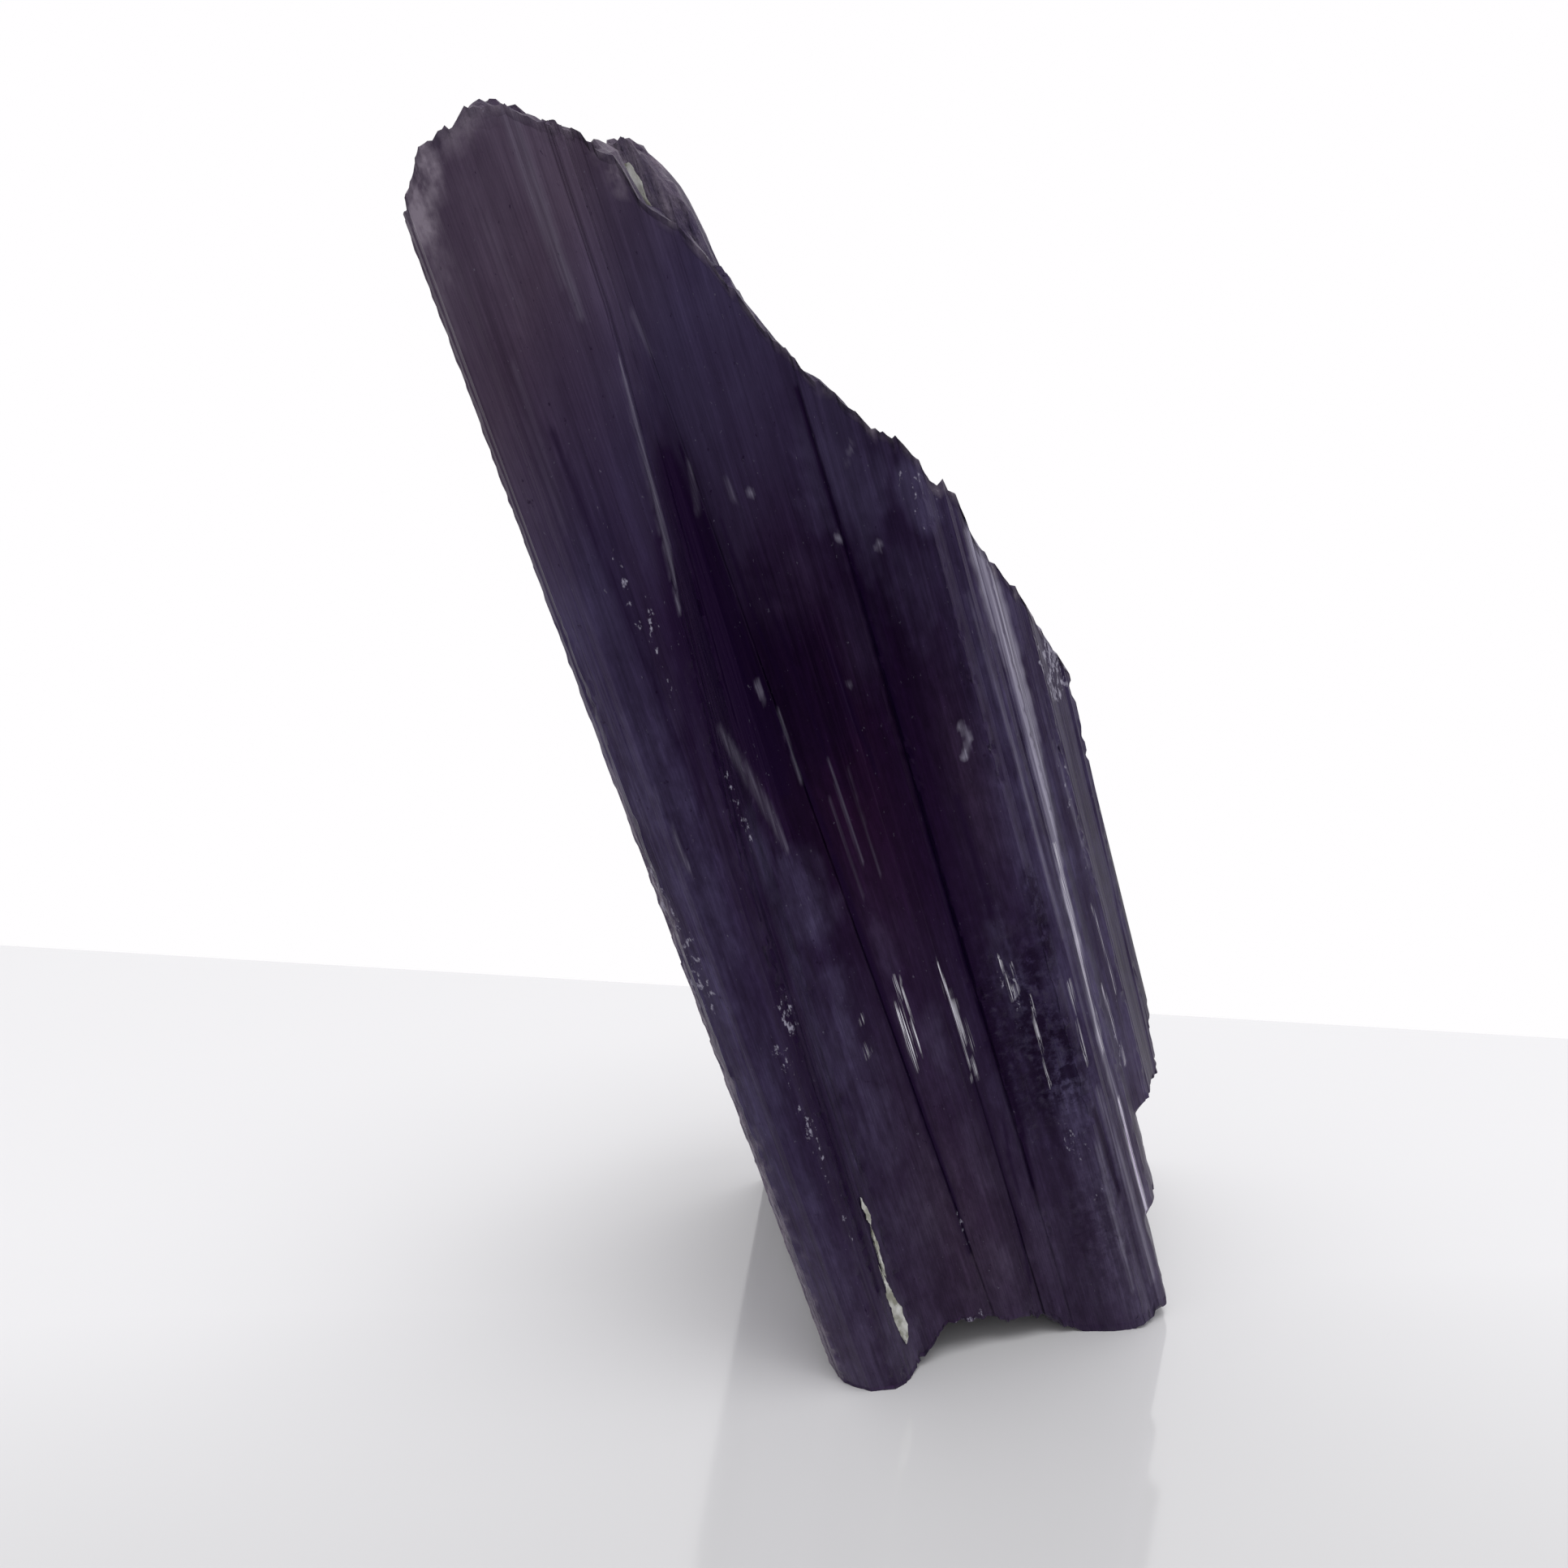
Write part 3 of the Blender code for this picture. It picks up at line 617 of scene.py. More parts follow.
# lines up the columns: each runs through points of x, z and half width, with a strength
streaks = {
    # pale lines: partly painted highlights, chiefly on the narrow bright face at the right and on ridges,
    # partly pale scuffs and a thread of lint
    "pale": [
        (0.22, (-4.4, 146, 0.4), (-4.4, 136, 0.45), (-4.2, 128, 0.2)),
        (0.32, (-2.4, 124, 0.06), (-2.9, 116.7, 0.15), (-3.6, 106.6, 0.2), (-4.3, 100.8, 0.08)),
        (0.12, (-0.3, 127, 0.2), (0.2, 123, 0.2)),
        (0.16, (0.3, 112.8, 0.2), (-0.2, 108.4, 0.25)),
        (0.16, (3.2, 109.9, 0.2), (3.3, 108, 0.25)),
        (0.25, (15.2, 109.8, 0.08), (14, 107.6, 0.08), (13, 106, 0.08)),
        (0.05, (-10.6, 126, 0.4), (-11.2, 112, 0.4)),
        (0.06, (-8.9, 138, 0.3), (-8.5, 130, 0.3)),
        (0.22, (-4.5, 88, 0.2), (-3.6, 82, 0.45), (-2.8, 77, 0.45), (-2.3, 72.4, 0.2)),
        (0.28, (1.1, 87, 0.12), (1.1, 79, 0.12)),
        (0.38, (4.3, 80, 0.1), (4.4, 74, 0.14), (4.5, 68, 0.1)),
        (0.16, (5.8, 79, 0.1), (5.9, 66, 0.12)),
        (0.14, (3.2, 76, 0.08), (3.5, 64, 0.1)),
        (0.4, (-11.7, 85, 0.15), (-11.1, 76, 0.15)),
        (
            0.95, (23.9, 97.5, 0.5), (24.5, 90, 0.8), (24.8, 83, 0.78), (24.8, 75, 0.7), (24.4, 66, 0.5),
            (24, 57, 0.25),
        ),
        (0.9, (24, 58, 0.3), (23.9, 49, 0.24), (23.5, 38, 0.2), (23.8, 25, 0.22), (23.8, 9, 0.14)),
        (0.22, (22, 92, 0.16), (22.6, 74, 0.18), (22.4, 52, 0.14)),
        (0.4, (21.9, 32, 0.3), (22.4, 18, 0.4), (22.4, 4, 0.35)),
        (0.35, (20.2, 26, 0.25), (19.9, 12, 0.3), (19.8, 4, 0.2)),
        (0.3, (26.9, 72, 0.12), (27.4, 56, 0.12)),
        (0.8, (17.9, 79.4, 0.3), (18.4, 77.8, 0.25), (17.5, 76, 0.3)),
        (0.55, (0, 90.2, 0.25), (0, 88.8, 0.25)),
        (0.6, (11.4, 101.6, 0.2), (11.5, 101, 0.2)),
        (0.6, (4.8, 108.5, 0.22), (4.9, 108.2, 0.2)),
        (0.5, (15.1, 99.9, 0.25), (14.9, 99.4, 0.2)),
        (0.5, (8.2, 87.2, 0.2), (8.7, 87, 0.2)),
    ],
    # painted shade: dark bands along the grooves and the seam
    "deep": [
        (0.97, (-1.4, 114, 0.8), (-1.7, 103, 1.7), (-2.3, 94.5, 2.4), (-1.3, 83, 1.7), (-0.9, 78.5, 0.6)),
        (0.8, (-4, 108, 0.4), (-4.9, 97, 0.9), (-5, 88, 1), (-5.4, 78, 0.5)),
        (0.6, (-5.6, 80, 0.4), (-5.8, 68, 0.5), (-6.6, 60, 0.6)),
        (
            0.85, (-7.2, 62, 0.3), (-6.9, 55, 0.65), (-6.8, 47, 0.7), (-7, 38, 0.5), (-7.3, 28, 0.35),
            (-7.5, 20, 0.15),
        ),
        (0.6, (-5.3, 98.4, 0.4), (-6.8, 89.6, 0.5), (-8.1, 81.7, 0.3)),
        (0.85, (0, 115, 0.12), (0.3, 103, 0.22), (0.2, 93, 0.24), (0.9, 84.7, 0.26), (2, 70.9, 0.2)),
        (0.7, (1.5, 107, 0.12), (1.6, 97.6, 0.18), (2, 92.3, 0.2), (2.5, 87.7, 0.12)),
        (
            1, (1.9, 70, 0.25), (2.15, 60, 0.32), (2.35, 48, 0.36), (2.65, 35, 0.34), (2.95, 26, 0.28),
            (3, 17, 0.15),
        ),
        (0.6, (3, 104, 0.1), (4, 88, 0.14), (4.6, 70, 0.1)),
        (0.9, (11.7, 116, 0.2), (11.8, 105.6, 0.3), (12.1, 96.3, 0.34), (12.2, 78, 0.38), (11.9, 68, 0.4)),
        (1, (11.9, 68, 0.5), (11.9, 54, 0.8), (12.2, 41.8, 0.7), (12.5, 32, 0.5), (11.9, 22, 0.2)),
        (0.85, (8.7, 46, 0.12), (8.9, 38, 0.2), (9.2, 29, 0.28), (9.2, 20.4, 0.24), (8.6, 9.7, 0.12)),
        (0.7, (10.9, 33, 0.14), (10.3, 27, 0.2), (10.2, 21.7, 0.12)),
        (0.6, (-1.3, 32, 0.1), (-1.3, 25, 0.14)),
        (0.95, (20.9, 30, 0.2), (21, 24, 0.4), (21.2, 18, 0.2)),
        (0.5, (-9.5, 120, 0.3), (-8.6, 100, 0.3), (-8, 84, 0.2)),
        (0.7, (7.5, 91, 0.16), (7.9, 84, 0.3), (8.6, 77, 0.2)),
        (0.6, (15.6, 72, 0.4), (15.9, 58, 0.4)),
        (0.5, (26, 82, 0.4), (26.4, 60, 0.4), (26, 44, 0.3)),
    ],
    # painted glints: short bright streaks, made metallic and near white in the skin
    "paintedGlint": [
        (1, (4.2, 56, 0.06), (3.8, 50, 0.16), (3.7, 44, 0.12)),
        (0.9, (3.3, 52, 0.05), (3.3, 46, 0.12), (3.4, 41, 0.05)),
        (0.9, (4.6, 54.5, 0.05), (4.5, 48, 0.08), (4.4, 43, 0.05)),
        (1, (8.7, 55.6, 0.04), (9, 50, 0.11), (9.1, 45, 0.1), (8.9, 39, 0.04)),
        (0.7, (9.7, 49, 0.04), (9.8, 43, 0.07), (9.6, 39, 0.04)),
        (0.5, (-0.3, 52, 0.05), (-1, 46.5, 0.09)),
        (0.8, (15.2, 52.5, 0.08), (15.7, 47, 0.2)),
        (0.7, (16.3, 51.5, 0.05), (16.4, 47.5, 0.1)),
        (0.8, (17.4, 47, 0.05), (17.1, 41, 0.12), (16.8, 35, 0.06)),
        (0.85, (21.9, 47, 0.05), (21.6, 41, 0.14), (21.4, 36, 0.06)),
        (0.6, (25.4, 42, 0.06), (25.8, 31, 0.12)),
        (0.6, (26.6, 52, 0.05), (26.9, 40, 0.08)),
        (0.8, (23.9, 29, 0.12), (23.8, 21, 0.18), (23.8, 12, 0.1)),
        (0.7, (24.1, 62, 0.15), (23.9, 49, 0.15), (23.6, 36, 0.15)),
    ],
}


def patchOver(name, x, y, z):
    total = np.zeros_like(x)
    wander = lumps(x * 0.5, 4, z * 0.35, 1.6) + 0.8 * lumps(x, 8, z * 0.6, 0.9)
    for atX, atZ, halfX, halfZ, strength in patches[name]:
        reach = np.hypot((x - atX) / halfX, (z - atZ) / halfZ) + 0.5 * wander
        total = np.maximum(total, strength * unit(1.7 - reach) * (y < 4))
    return total


def streaksOver(name, x, y, z):
    total = np.zeros_like(x)
    front = depthBehindFront(x, y) < 2.2
    wander = 0.25 * lumps(x, 2, z, 1.3)
    for strength, *route in streaks[name]:
        for start, end in zip(route, route[1:]):
            run = np.array(end[:2]) - start[:2]
            share = unit(((x - start[0]) * run[0] + (z - start[1]) * run[1]) / (run @ run))
            away = np.hypot(x - start[0] - share * run[0], z - start[1] - share * run[1])
            half = start[2] + (end[2] - start[2]) * share
            amount = strength * unit(1.5 - (away / half) * (1 + wander))
            total = np.maximum(total, amount * front)
    return total


# how much pale haze lies over the dark core, across its two sides and towards both ends; on the front it is
# painted reflection and sheen, lighter towards the sides and the ends, with film patches
haze = {
    "left": [(-17, 0.95), (-15, 0.78), (-13, 0.64), (-10, 0.56), (-8, 0.24), (-6, 0.12), (-4, 0)],
    "right": [(13.5, 0), (16, 0.2), (19, 0.34), (22, 0.72), (24, 0.82), (28, 0.62), (31, 0.6)],
    "rightAlong": [(60, 1), (76, 0.92), (82, 0.76), (98, 0.62)],
    "lowRight": [(15.5, 0), (18, 0.75), (20, 1.1), (23, 0.95), (25, 0.7)],
    "head": [(97, 0), (106, 0.26), (122, 0.6), (138, 0.92), (147, 1.1)],
    "foot": [(0, 0.56), (26, 0.4), (42, 0.25), (58, 0.11), (72, 0)],
    "lowRightTop": (46, 34),
    "elsewhere": 0.3,
    "frontToRear": (-3, 3),
}


def hazeAndSheenOver(x, y, z):
    wander = 2.2 * lumps(x * 0.6, 2, z * 0.12, 3)
    fronts = [
        along(haze["left"], x + 0.5 * wander),
        along(haze["right"], x + 0.3 * wander) * along(haze["rightAlong"], z),
        along(haze["lowRight"], x + 0.5 * wander) * ramp(z, *haze["lowRightTop"]),
        along(haze["head"], z + 3 * wander),
        along(haze["foot"], z + 4 * wander),
        patchOver("filmAndSheen", x, y, z),
    ]
    cloudy = 1 + 1.1 * lumps(x, y, z * 0.12, 5) + 0.5 * lumps(x, y, z * 0.2, 2)
    rear = haze["elsewhere"] * np.clip(cloudy, 0.2, 2.4)
    share = ramp(y, *haze["frontToRear"])
    return np.maximum.reduce(fronts) * (1 - share) + rear * share


# where the colour leans to brown instead of blue
warmth = {
    "spots": [(5.5, 78, 4.5, 20, 1), (3, 28, 6, 24, 0.55), (17, 74, 2.5, 14, 0.6)],
    "low": (38, 14, 0.4),  # from the first height down to the second, and how much
    "head": (112, 20, -14, 15),  # a height and its softness, a place across and its softness
}


def warmthOver(x, y, z):
    low, lower, amount = warmth["low"]
    reddish = amount * ramp(z, low, lower)
    for atX, atZ, halfX, halfZ, strength in warmth["spots"]:
        reddish += strength * np.exp(-(((x - atX) / halfX) ** 2 + ((z - atZ) / halfZ) ** 2)) * (y < 0)
    height, softZ, side, softX = warmth["head"]
    atHead = unit(0.5 + (z - height) / softZ - (x - side) / softX)
    return unit(atHead + reddish)


def rearFrost(x, y, z):
    # the whitish column that stands behind the head
    low, high = head["rearDepth"]
    inside = band(x, 0.8, 7.4, 0.7) * band(y, low - 0.4, high + 0.4, 0.5) * ramp(z, 125, 129)
    return inside * unit(0.5 + 0.9 * lumps(x * 1.6, y, z * 0.25, 1))


def rimFrostAndHighlight(x, y, z):
    # the frosted rim of the head with a painted highlight, which whitens it to the right
    strength = 0.5 + 0.3 * (x > 0) + 0.5 * (x > 21)
    return strength * unit(0.6 + 1.5 * lumps(x, y, z, 1.1)) * (y < 2)


# the rough strip down the left edge
bevel = {
    "edge": (-16.6, -23.2),
    "across": (0.46, -0.89),  # the way across it from that edge
    "wide": (1.2, 0.8),  # at the head, and what it gains
    "gain": (62, 42),  # between these heights
    "back": (-20.6, 2.2),  # where it ends towards the back, and how softly
}


def brokenBevel(x, y, z):
    (edgeX, edgeY), (acrossX, acrossY) = bevel["edge"], bevel["across"]
    across = (x - edgeX) * acrossX + (y - edgeY) * acrossY
    ragged = 0.5 * lumps(x, y, z, 2) + 0.35 * lumps(x, y, z, 0.9)
    least, more = bevel["wide"]
    wide = least + more * ramp(z, *bevel["gain"])
    back, soft = bevel["back"]
    inside = unit(1.9 - across / wide + 1.5 * ragged)
    inside = inside * unit((back - y) / soft + 1.6 * ragged)
    return inside * (x < -12) * np.clip((100 - z) / 20, 0.2, 1)


def nodesOf(name):
    material = bpy.data.materials.new(name)
    material.use_nodes = True
    return material, material.node_tree, material.node_tree.nodes["Principled BSDF"]


def fill(node, inputs):
    # another node's output is linked to an input, a plain value is written there
    for name, value in inputs.items():
        socket = node.inputs[name]
        if isinstance(value, bpy.types.NodeSocket):
            node.id_data.links.new(value, socket)
        else:
            socket.default_value = value


def newNode(tree, kind, inputs, **settings):
    node = tree.nodes.new("ShaderNode" + kind)
    for name, value in settings.items():
        setattr(node, name, value)
    fill(node, inputs)
    return node


def objectAxes(tree):
    return newNode(tree, "TexCoord", {}).outputs["Object"]


def crystalAxes(tree):
    # the object's coordinates turned back into the crystal's own axes, in metres
    turn = [math.radians(angle) for angle in stance["turn"]]
    inputs = {"Location": Vector(stance["shift"]) * mm, "Rotation": turn, "Vector": objectAxes(tree)}
    return newNode(tree, "Mapping", inputs, vector_type="TEXTURE").outputs["Vector"]


def grain(tree, coordinates, scale, detail=3, roughness=0.55):
    vector = newNode(tree, "Mapping", {"Scale": scale, "Vector": coordinates}).outputs["Vector"]
    inputs = {"Vector": vector, "Scale": 1, "Detail": detail, "Roughness": roughness}
    return newNode(tree, "TexNoise", inputs).outputs["Fac"]


def spread(tree, *values):
    # a value read between two limits, and what each of them becomes
    return newNode(tree, "MapRange", dict(enumerate(values))).outputs["Result"]


def calculate(tree, operation, *values):
    return newNode(tree, "Math", dict(enumerate(values)), operation=operation).outputs[0]


def plus(tree, *values):
    return calculate(tree, "ADD", *values)


def times(tree, first, *others):
    for other in others:
        first = calculate(tree, "MULTIPLY", first, other)
    return first


def vectors(tree, operation, first, second):
    inputs = {0: first, ("Scale" if operation == "SCALE" else 1): second}
    node = newNode(tree, "VectorMath", inputs, operation=operation)
    return node.outputs["Value" if operation == "DOT_PRODUCT" else "Vector"]


def blended(tree, factor, *colours):
    inputs = {"Factor": factor}
    for name, colour in zip("AB", colours):
        inputs[name] = (*colour, 1) if isinstance(colour, tuple) else colour
    return newNode(tree, "Mix", inputs, data_type="RGBA").outputs["Result"]


def bumped(tree, height, distance, strength, before=None):
    inputs = {"Height": height, "Distance": distance, "Strength": strength}
    if before:
        inputs["Normal"] = before
    return newNode(tree, "Bump", inputs).outputs["Normal"]


skin = {
    "core": (0.006, 0.0018, 0.013),
    "redCore": (0.01, 0.0022, 0.012),
    # the colours of the haze, which on the front is painted reflection and sheen
    "coolHaze": (0.0385, 0.0368, 0.0655),
    "warmHaze": (0.0445, 0.039, 0.0495),
    "frost": (0.22, 0.19, 0.23),
    "broken": (0.052, 0.046, 0.07),
    # the colour of painted shade and of dark flecks
    "shadeAndDarkFlecks": (0.0032, 0.0006, 0.0085),
    # the colour of the painted shade in the grooves and the seam
    "deep": (0.0042, 0.0009, 0.0125),
    # pale: partly painted highlight, partly pale scuffs and lint
    "pale": (0.33, 0.315, 0.4),
    "speck": (0.27, 0.26, 0.33),
    "dust": (0.13, 0.125, 0.165),
    # the colour of the painted glints
    "flash": (0.85, 0.84, 0.92),
    "gloss": (0.28, 0.48),
    "index": 1.62,
    "level": 0.15,
    "tint": (0.6, 0.25, 0.85, 1),
    "dulling": (0.08, 0.15, 0.35, -0.22),  # what haze, breaks, crumble and glints add to the roughness
    # scale along each axis per metre, detail, roughness
    "noises": {
        "columns": ((430, 430, 13), 3, 0.6),
        "striae": ((2400, 2400, 40), 4, 0.6),
        "hairlines": ((6500, 6500, 110), 2),
        "threads": ((8500, 8500, 110), 2),
        "crumbs": ((2300, 2300, 2300), 3, 0.65),
        "clouds": ((260, 260, 130), 4),
        "fibres": ((520, 520, 90), 5, 0.65),
        "ledges": ((800, 800, 800), 5, 0.65),
        "mist": ((620, 620, 420), 4, 0.6),
        "flecks": ((1700, 1700, 1000), 5, 0.62),
        "dust": ((2900, 2900, 1500), 3, 0.6),
        "mottle": ((1250, 1250, 420), 6, 0.68),
    },
    "masks": [
        "broken", "bevel", "filmAndSheen", "frost", "crumble", "speckle", "shadeAndDarkFlecks", "warmth", "pale", "deep", "paintedGlint",
    ],
    # a noise, the two values of it to read between, and what each of them becomes
    "cloudy": ("clouds", 0.4, 0.6, -0.3, 0.24),
    "blotches": ("mottle", 0.32, 0.68, -0.3, 0.32),
    "lines": [
        ("striae", 0.32, 0.7, 0.8, 1.22),
        ("columns", 0.35, 0.65, 0.74, 1.3),
        ("hairlines", 0.3, 0.7, 0.84, 1.18),
    ],
    "headCalm": (0.085, 0.115, 1, 0.35),  # heights between which the blotches fade, and how far
    "headLines": (0.085, 0.12, 1, 0.6),
    # layers from the lowest up: a mask, the noises that break it up, a colour
    "layers": [
        # the crumbled scoop is painted darker in blotches
        ("crumble", [("ledges", 0.46, 0.56, 0.8, 0)], "shadeAndDarkFlecks"),
        ("crumble", [("ledges", 0.57, 0.66, 0, 0.5)], "broken"),
        (None, [("flecks", 0.34, 0.27, 0, 0.8)], "shadeAndDarkFlecks"),
        (None, [("dust", 0.69, 0.77, 0, 0.6)], "dust"),
        ("broken", [("crumbs", 0.34, 0.66, 0.35, 0.95), ("fibres", 0.38, 0.62, 0.15, 1)], "broken"),
        ("frost", [("mist", 0.34, 0.62, 0.1, 1)], "frost"),
        ("bevel", [("crumbs", 0.36, 0.62, 0.35, 0.9), ("mist", 0.36, 0.58, 0.2, 1)], "frost"),
        # the pale lines, partly painted highlights
        ("pale", [("striae", 0.38, 0.62, 0.25, 1)], "pale"),
    ],
    "specks": {"speckle": 0.21, "broken": 0.08, "bevel": 0.1},  # how much likelier specks are there
    "speckLimits": (0.75, 0.84),
    "flashes": ("threads", 0.46, 0.54),
    "bumps": {  # distance in metres and strength
        "striae": (0.00014, 0.6),
        "hairlines": (0.00004, 0.5),
        "ledges": (0.0005, 0.8),
        "crumbs": (0.00016, 0.7),
        "fibres": (0.0012, 0.8),
    },
}


def makeSkin():
    material, tree, shader = nodesOf("schorlSkin")
    coordinates = crystalAxes(tree)
    noises = {name: grain(tree, coordinates, *plan) for name, plan in skin["noises"].items()}
    mask = {}
    for name in skin["masks"]:
        mask[name] = newNode(tree, "Attribute", {}, attribute_name=name).outputs["Fac"]
    height = newNode(tree, "SeparateXYZ", {"Vector": coordinates}).outputs["Z"]

    def read(name, *limits):
        return spread(tree, noises[name], *limits)

    # the core under its haze, which on the front is painted reflection and sheen
    core = blended(tree, mask["warmth"], skin["core"], skin["redCore"])
    veil = blended(tree, mask["warmth"], skin["coolHaze"], skin["warmHaze"])
    calm = spread(tree, height, *skin["headCalm"])
    hazeAndSheen = times(tree, mask["filmAndSheen"], plus(tree, times(tree, calm, read(*skin["cloudy"])), 1))
    colour = vectors(tree, "ADD", core, vectors(tree, "SCALE", veil, hazeAndSheen))
    # painted dark reflection on the middle of the front
    colour = blended(tree, mask["shadeAndDarkFlecks"], colour, skin["shadeAndDarkFlecks"])

    # darker and lighter lines, which weaken towards the head
    blotches = plus(tree, times(tree, calm, read(*skin["blotches"])), 1)
    lines = times(tree, *[read(*plan) for plan in skin["lines"]], blotches)
    lines = times(tree, plus(tree, lines, -1), spread(tree, height, *skin["headLines"]))
    colour = vectors(tree, "SCALE", colour, plus(tree, lines, 1))
    # painted shade along the grooves and the seam
    colour = blended(tree, mask["deep"], colour, skin["deep"])

    for name, plans, tone in skin["layers"]:
        parts = [read(*plan) for plan in plans]
        amount = times(tree, mask[name], *parts) if name else parts[0]
        colour = blended(tree, amount, colour, skin[tone])
        if name == "broken":
            worn = amount

    eager = noises["flecks"]
    for name, gain in skin["specks"].items():
        eager = plus(tree, times(tree, mask[name], gain), eager)
    colour = blended(tree, spread(tree, eager, *skin["speckLimits"]), colour, skin["speck"])
    # painted glints: the glint streaks broken into bright hairlines
    flash = times(tree, mask["paintedGlint"], read(*skin["flashes"]))

    gloss = read("striae", 0.3, 0.7, *skin["gloss"])
    for part, gain in zip((hazeAndSheen, worn, mask["crumble"], flash), skin["dulling"]):
        gloss = plus(tree, gloss, times(tree, part, gain))

    relieved = {
        "striae": noises["striae"],
        "hairlines": noises["hairlines"],
        "ledges": times(tree, noises["ledges"], mask["crumble"]),
        "crumbs": times(tree, noises["crumbs"], plus(tree, mask["broken"], 0.15)),
        "fibres": times(tree, noises["fibres"], mask["broken"]),
    }
    normal = None
    for name, plan in skin["bumps"].items():
        normal = bumped(tree, relieved[name], *plan, normal)
    fill(shader, {
        "Base Color": blended(tree, flash, colour, skin["flash"]),
        "Metallic": flash,
        "Roughness": gloss,
        "IOR": skin["index"],
        "Specular IOR Level": skin["level"],
        "Specular Tint": skin["tint"],
        "Normal": normal,
    })
    return material


mica = {
    "colour": (0.25, 0.25, 0.2),
    "bright": (0.7, 0.7, 0.68),
    "gloss": (0.18, 0.42),
    "metallic": 0.25,
    "index": 1.58,
    "leaf": 0.16,  # thickness of one leaf
    "plates": {
        "mica_plate_lower": {
            "outline": [
                (-0.05, -5.4), (0.4, -4.8), (0.8, -3), (0.7, -1.4), (0.85, -0.4), (0.4, 1), (0.35, 2.2),
                (0.1, 4.2), (-0.1, 6.4), (-0.25, 3.8), (-0.6, 2), (-0.45, 0.4), (-0.65, -1.8),
                (-0.4, -3.8),
            ],
            "thickness": 0.5,
            "place": (-6.6, -24.7, 16.4),
            "turn": 24,
        },
        "mica_flake_middle": {
            "outline": [
                (-0.15, -4), (0.1, -2.4), (0.05, -1), (0.25, 0.4), (0.12, 3.4), (-0.1, 2), (-0.15, -0.6),
                (-0.3, -2.4),
            ],
            "thickness": 0.3,
            "place": (-6.3, -24.5, 24.8),
            "turn": 30,
        },
        "mica_flake_upper": {
            "outline": [
                (0.05, -2), (0.42, -0.9), (0.25, 0.4), (-0.05, 1.9), (-0.3, 0.8), (-0.1, -0.2),
                (-0.2, -0.9),
            ],
            "thickness": 0.3,
            "place": (-6.2, -24.4, 29.8),
            "turn": 38,
        },
        "mica_plate_top": {
            "outline": [
                (-3.4, -5.2), (1.4, -5.4), (2.3, -3.4), (1.9, -1.8), (2.1, -0.6), (1.6, 1), (1.6, 2.4),
                (1.1, 4.3), (-3.2, 4.4),
            ],
            "thickness": 0.8,
            "place": (1.9, -14.4, 134.6),
            "turn": 6,
        },
    },
}


def makeMicaSkin():
    material, tree, shader = nodesOf("micaSheen")
    coordinates = crystalAxes(tree)
    sheen = grain(tree, coordinates, (900, 900, 500), 3)
    scratches = grain(tree, coordinates, (5000, 5000, 1500), 2)
    fill(shader, {
        "Base Color": blended(tree, spread(tree, sheen, 0.35, 0.65), mica["colour"], mica["bright"]),
        "Roughness": spread(tree, sheen, 0.3, 0.7, *mica["gloss"]),
        "Metallic": mica["metallic"],
        "IOR": mica["index"],
        "Normal": bumped(tree, scratches, 0.00006, 0.6),
    })
    return material


def raggedOutline(outline, draw, step=0.3, stray=0.06):
    points = []
    for start, end in zip(outline, outline[1:] + outline[:1]):
        start, end = Vector(start), Vector(end)
        count = max(1, round((end - start).length / step))
        for index in range(count):
            point = start.lerp(end, index / count)
            points.append(point + Vector((draw.uniform(-stray, stray), draw.uniform(-stray, stray))))
    return points


def makeMica(name, plan, material):
    # a book of thin leaves, each a little smaller than the one under it
    draw = random.Random(name)
    points, faces = [], []
    leaves = max(3, round(plan["thickness"] / mica["leaf"]))
    turn = Matrix.Rotation(math.radians(plan["turn"]), 3, "Z")
    for leaf in range(leaves):
        level = (leaf + 0.5) / leaves - 0.5
        shrink = 1 - 0.32 * abs(level) * draw.uniform(0.4, 1.4)
        shift = Vector((draw.uniform(-0.08, 0.08), draw.uniform(-0.25, 0.25)))
        outline = [point * shrink + shift for point in raggedOutline(plan["outline"], draw)]
        half = 0.36 * plan["thickness"] / leaves
        middle = level * plan["thickness"]
        rim = untangled(np.array([tuple(point) for point in outline]))
        extra, triangles = endCap(rim, lambda u, w: u * 0, 0.25, leaf + 3)
        flat = np.concatenate([rim, extra[:, :2]])
        wave = 0.05 * lumps(flat[:, 0], flat[:, 1], leaf * 3, 1.4)
        base = len(points)
        for side in (-1, 1):
            for (u, w), bend in zip(flat, wave):
                spot = turn @ Vector((u, middle + side * half + bend, w)) + Vector(plan["place"])
                points.append(tuple(spot))
        count = len(flat)
        faces += [[base + i for i in triangle] for triangle in triangles]
        faces += [[base + count + i for i in reversed(triangle)] for triangle in triangles]
        for index in range(len(rim)):
            after = (index + 1) % len(rim)
            faces.append([base + index, base + count + index, base + count + after, base + after])
    return meshPiece(name + "_leaves", points, faces, [False] * len(faces), material)


table = {
    "turn": -19.2,
    "corners": [(-1.4, -1.4), (1.4, -1.4), (1.4, 0.1073), (-1.4, 0.1073)],
    "thick": 0.02,
    # the near tone is painted shade, darker towards the front
    "near": (0.66, 0.66, 0.67),
    "far": (0.79, 0.79, 0.805),
    "across": (-0.3, 1, 0),  # the way in which the painted shade of the near side passes into the far tone
    "fade": (-0.052, 0.004),  # and where
    "edge": (-0.11, -0.19),  # where that painted shade ends on the near side
    "gloss": (0.06, 0.1),
    "index": 1.75,
}


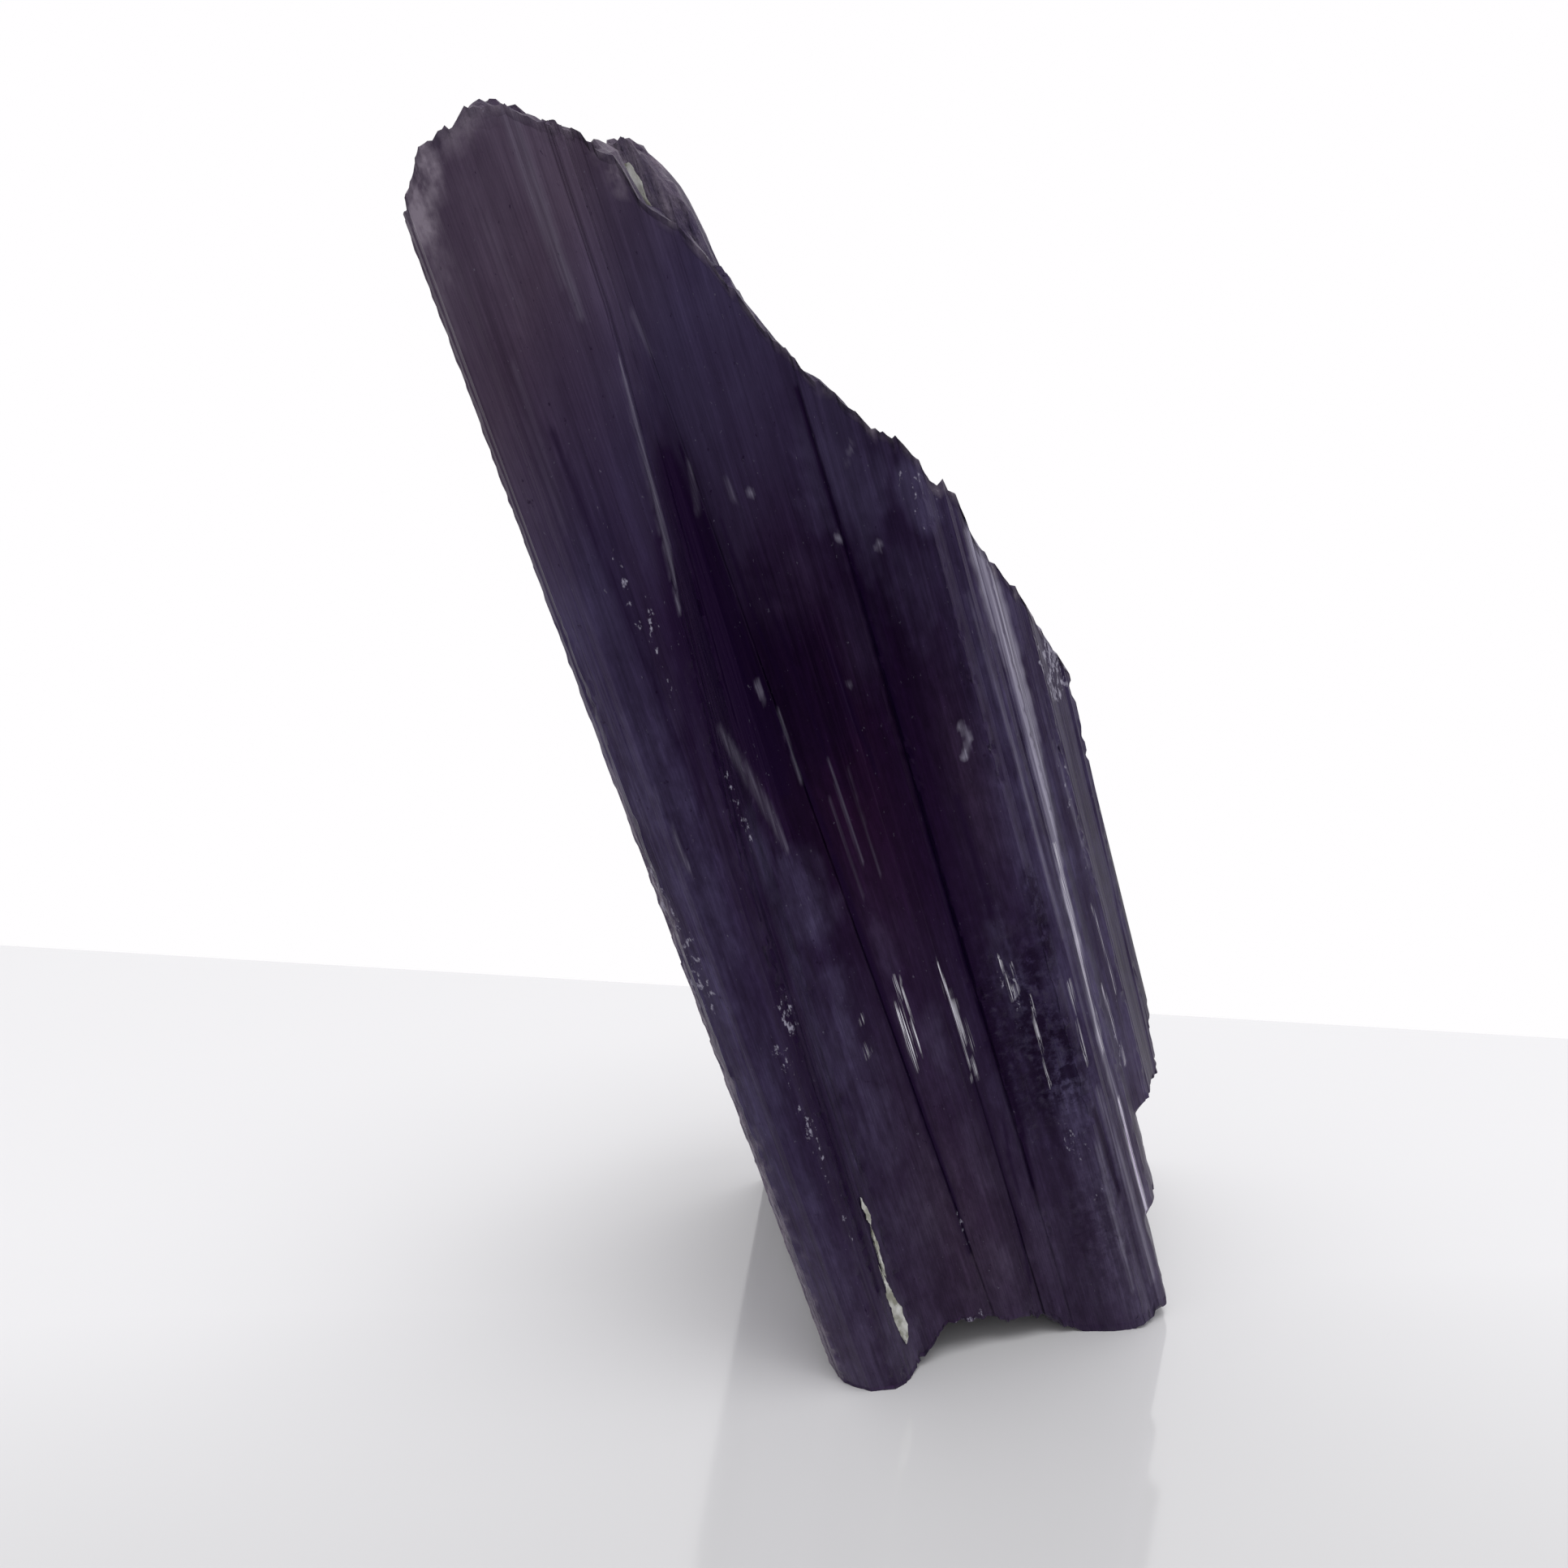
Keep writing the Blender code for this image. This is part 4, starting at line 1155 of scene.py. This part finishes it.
def makeTable():
    material, tree, shader = nodesOf("paleTable")
    coordinates = objectAxes(tree)
    cloud = grain(tree, coordinates, (9, 9, 9), 2)
    # painted shade: a darker band on the near side
    away = vectors(tree, "DOT_PRODUCT", coordinates, table["across"])
    tones = [spread(tree, away, *table[name]) for name in ("fade", "edge")]
    far = plus(tree, calculate(tree, "MAXIMUM", *tones), spread(tree, cloud, 0, 1, -0.1, 0.1))
    fill(shader, {
        "Base Color": blended(tree, far, table["near"], table["far"]),
        "Roughness": spread(tree, cloud, 0.3, 0.7, *table["gloss"]),
        "IOR": table["index"],
    })
    points = [(x, y, z) for z in (-table["thick"], 0) for x, y in table["corners"]]
    faces = [(3, 2, 1, 0), (4, 5, 6, 7), (0, 1, 5, 4), (1, 2, 6, 5), (2, 3, 7, 6), (3, 0, 4, 7)]
    top = plainMesh("paleTable", points, faces, material)
    top.rotation_euler.z = math.radians(table["turn"])


sky = {
    "tint": (1, 0.99, 1, 1),
    "front": 0.72,  # light from the near side, where someone stands
    "back": 1,
    "under": 0.5,
    "seen": 1,
    "gloss": 0.25,  # the share of the near side that shows in gloss
    "turnOver": (-0.75, 0.35),  # between these the near side passes into the far one
    "horizon": (-0.1, 0.05),
    "glossEdge": (-0.32, -0.62),
}


def makeSky():
    world = bpy.data.worlds.new("studio")
    scene.world = world
    world.use_nodes = True
    tree = world.node_tree
    direction = newNode(tree, "TexCoord", {}).outputs["Generated"]
    way = newNode(tree, "SeparateXYZ", {"Vector": direction}).outputs
    ray = newNode(tree, "LightPath", {}).outputs
    depth = spread(tree, way["Y"], *sky["turnOver"], sky["front"], sky["back"])
    up = spread(tree, way["Z"], *sky["horizon"])
    under = times(tree, calculate(tree, "SUBTRACT", 1, up), sky["under"])
    light = plus(tree, times(tree, depth, up), under)
    dim = times(tree, spread(tree, way["Y"], *sky["glossEdge"]), 1 - sky["gloss"], ray["Is Glossy Ray"])
    light = times(tree, light, calculate(tree, "SUBTRACT", 1, dim))
    choice = newNode(tree, "Mix", {"Factor": ray["Is Camera Ray"], "A": light, "B": sky["seen"]})
    fill(tree.nodes["Background"], {"Strength": choice.outputs["Result"], "Color": sky["tint"]})


lamps = {
    "overhead": {"place": (0.12, -0.4, 0.9), "aim": (-0.02, 0.02, 0.03), "size": (0.46, 0.46), "power": 3},
    "side": {"place": (0.48, 0.1, 0.13), "aim": (0, 0, 0.08), "size": (0.12, 0.26), "power": 0.06},
}


def makeLamps():
    for name, plan in lamps.items():
        light = bpy.data.lights.new(name, "AREA")
        light.shape = "RECTANGLE"
        light.size, light.size_y = plan["size"]
        light.energy = plan["power"]
        lamp = added(name, light)
        lamp.location = plan["place"]
        way = Vector(plan["aim"]) - Vector(plan["place"])
        lamp.rotation_euler = way.to_track_quat("-Z", "Y").to_euler()
        lamp.visible_camera = False


# a dark card low on the near side, seen only from above and only in the gloss of the front
card = {
    "corners": [(-0.22, -0.6, 0.01), (0.24, -0.6, 0.01), (0.2, -0.11, 0.01), (-0.16, -0.11, 0.01)],
    "dark": (0.02, 0.015, 0.02),
    "light": (0.03, 0.025, 0.03),
    "rough": 0.9,
}


def makeCard():
    material, tree, shader = nodesOf("darkCard")
    grey = grain(tree, objectAxes(tree), (30, 30, 30), 2)
    behind = newNode(tree, "NewGeometry", {}).outputs["Backfacing"]
    fill(shader, {
        "Base Color": blended(tree, grey, card["dark"], card["light"]),
        "Roughness": card["rough"],
        "Alpha": calculate(tree, "SUBTRACT", 1, behind),
    })
    sheet = plainMesh("lowCard", card["corners"], [(0, 1, 2, 3)], material)
    sheet.visible_camera = sheet.visible_diffuse = sheet.visible_shadow = False


view = {"place": (-8.86, -177.57, 104.75), "turn": (77.98, 3.23, -0.69), "lens": 36, "sensor": 36}


def makeCamera():
    data = bpy.data.cameras.new("view")
    data.lens, data.sensor_width = view["lens"], view["sensor"]
    data.sensor_fit = "HORIZONTAL"
    data.clip_start = 0.01
    camera = added("view", data)
    camera.location = Vector(view["place"]) * mm
    camera.rotation_euler = [math.radians(angle) for angle in view["turn"]]
    scene.camera = camera
    scene.view_settings.view_transform = "Standard"


schorl = makeSkin()
crystalPiece = makeBody(schorl)
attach(crystalPiece, "root")
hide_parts("tourmaline_crystal")

micaSkin = makeMicaSkin()
for node, plan in mica["plates"].items():
    leaves = makeMica(node, plan, micaSkin)
    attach(leaves, "root")
    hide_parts(node)
print("mica placed")

makeTable()
makeSky()
makeLamps()
makeCard()
makeCamera()
print("studio ready")
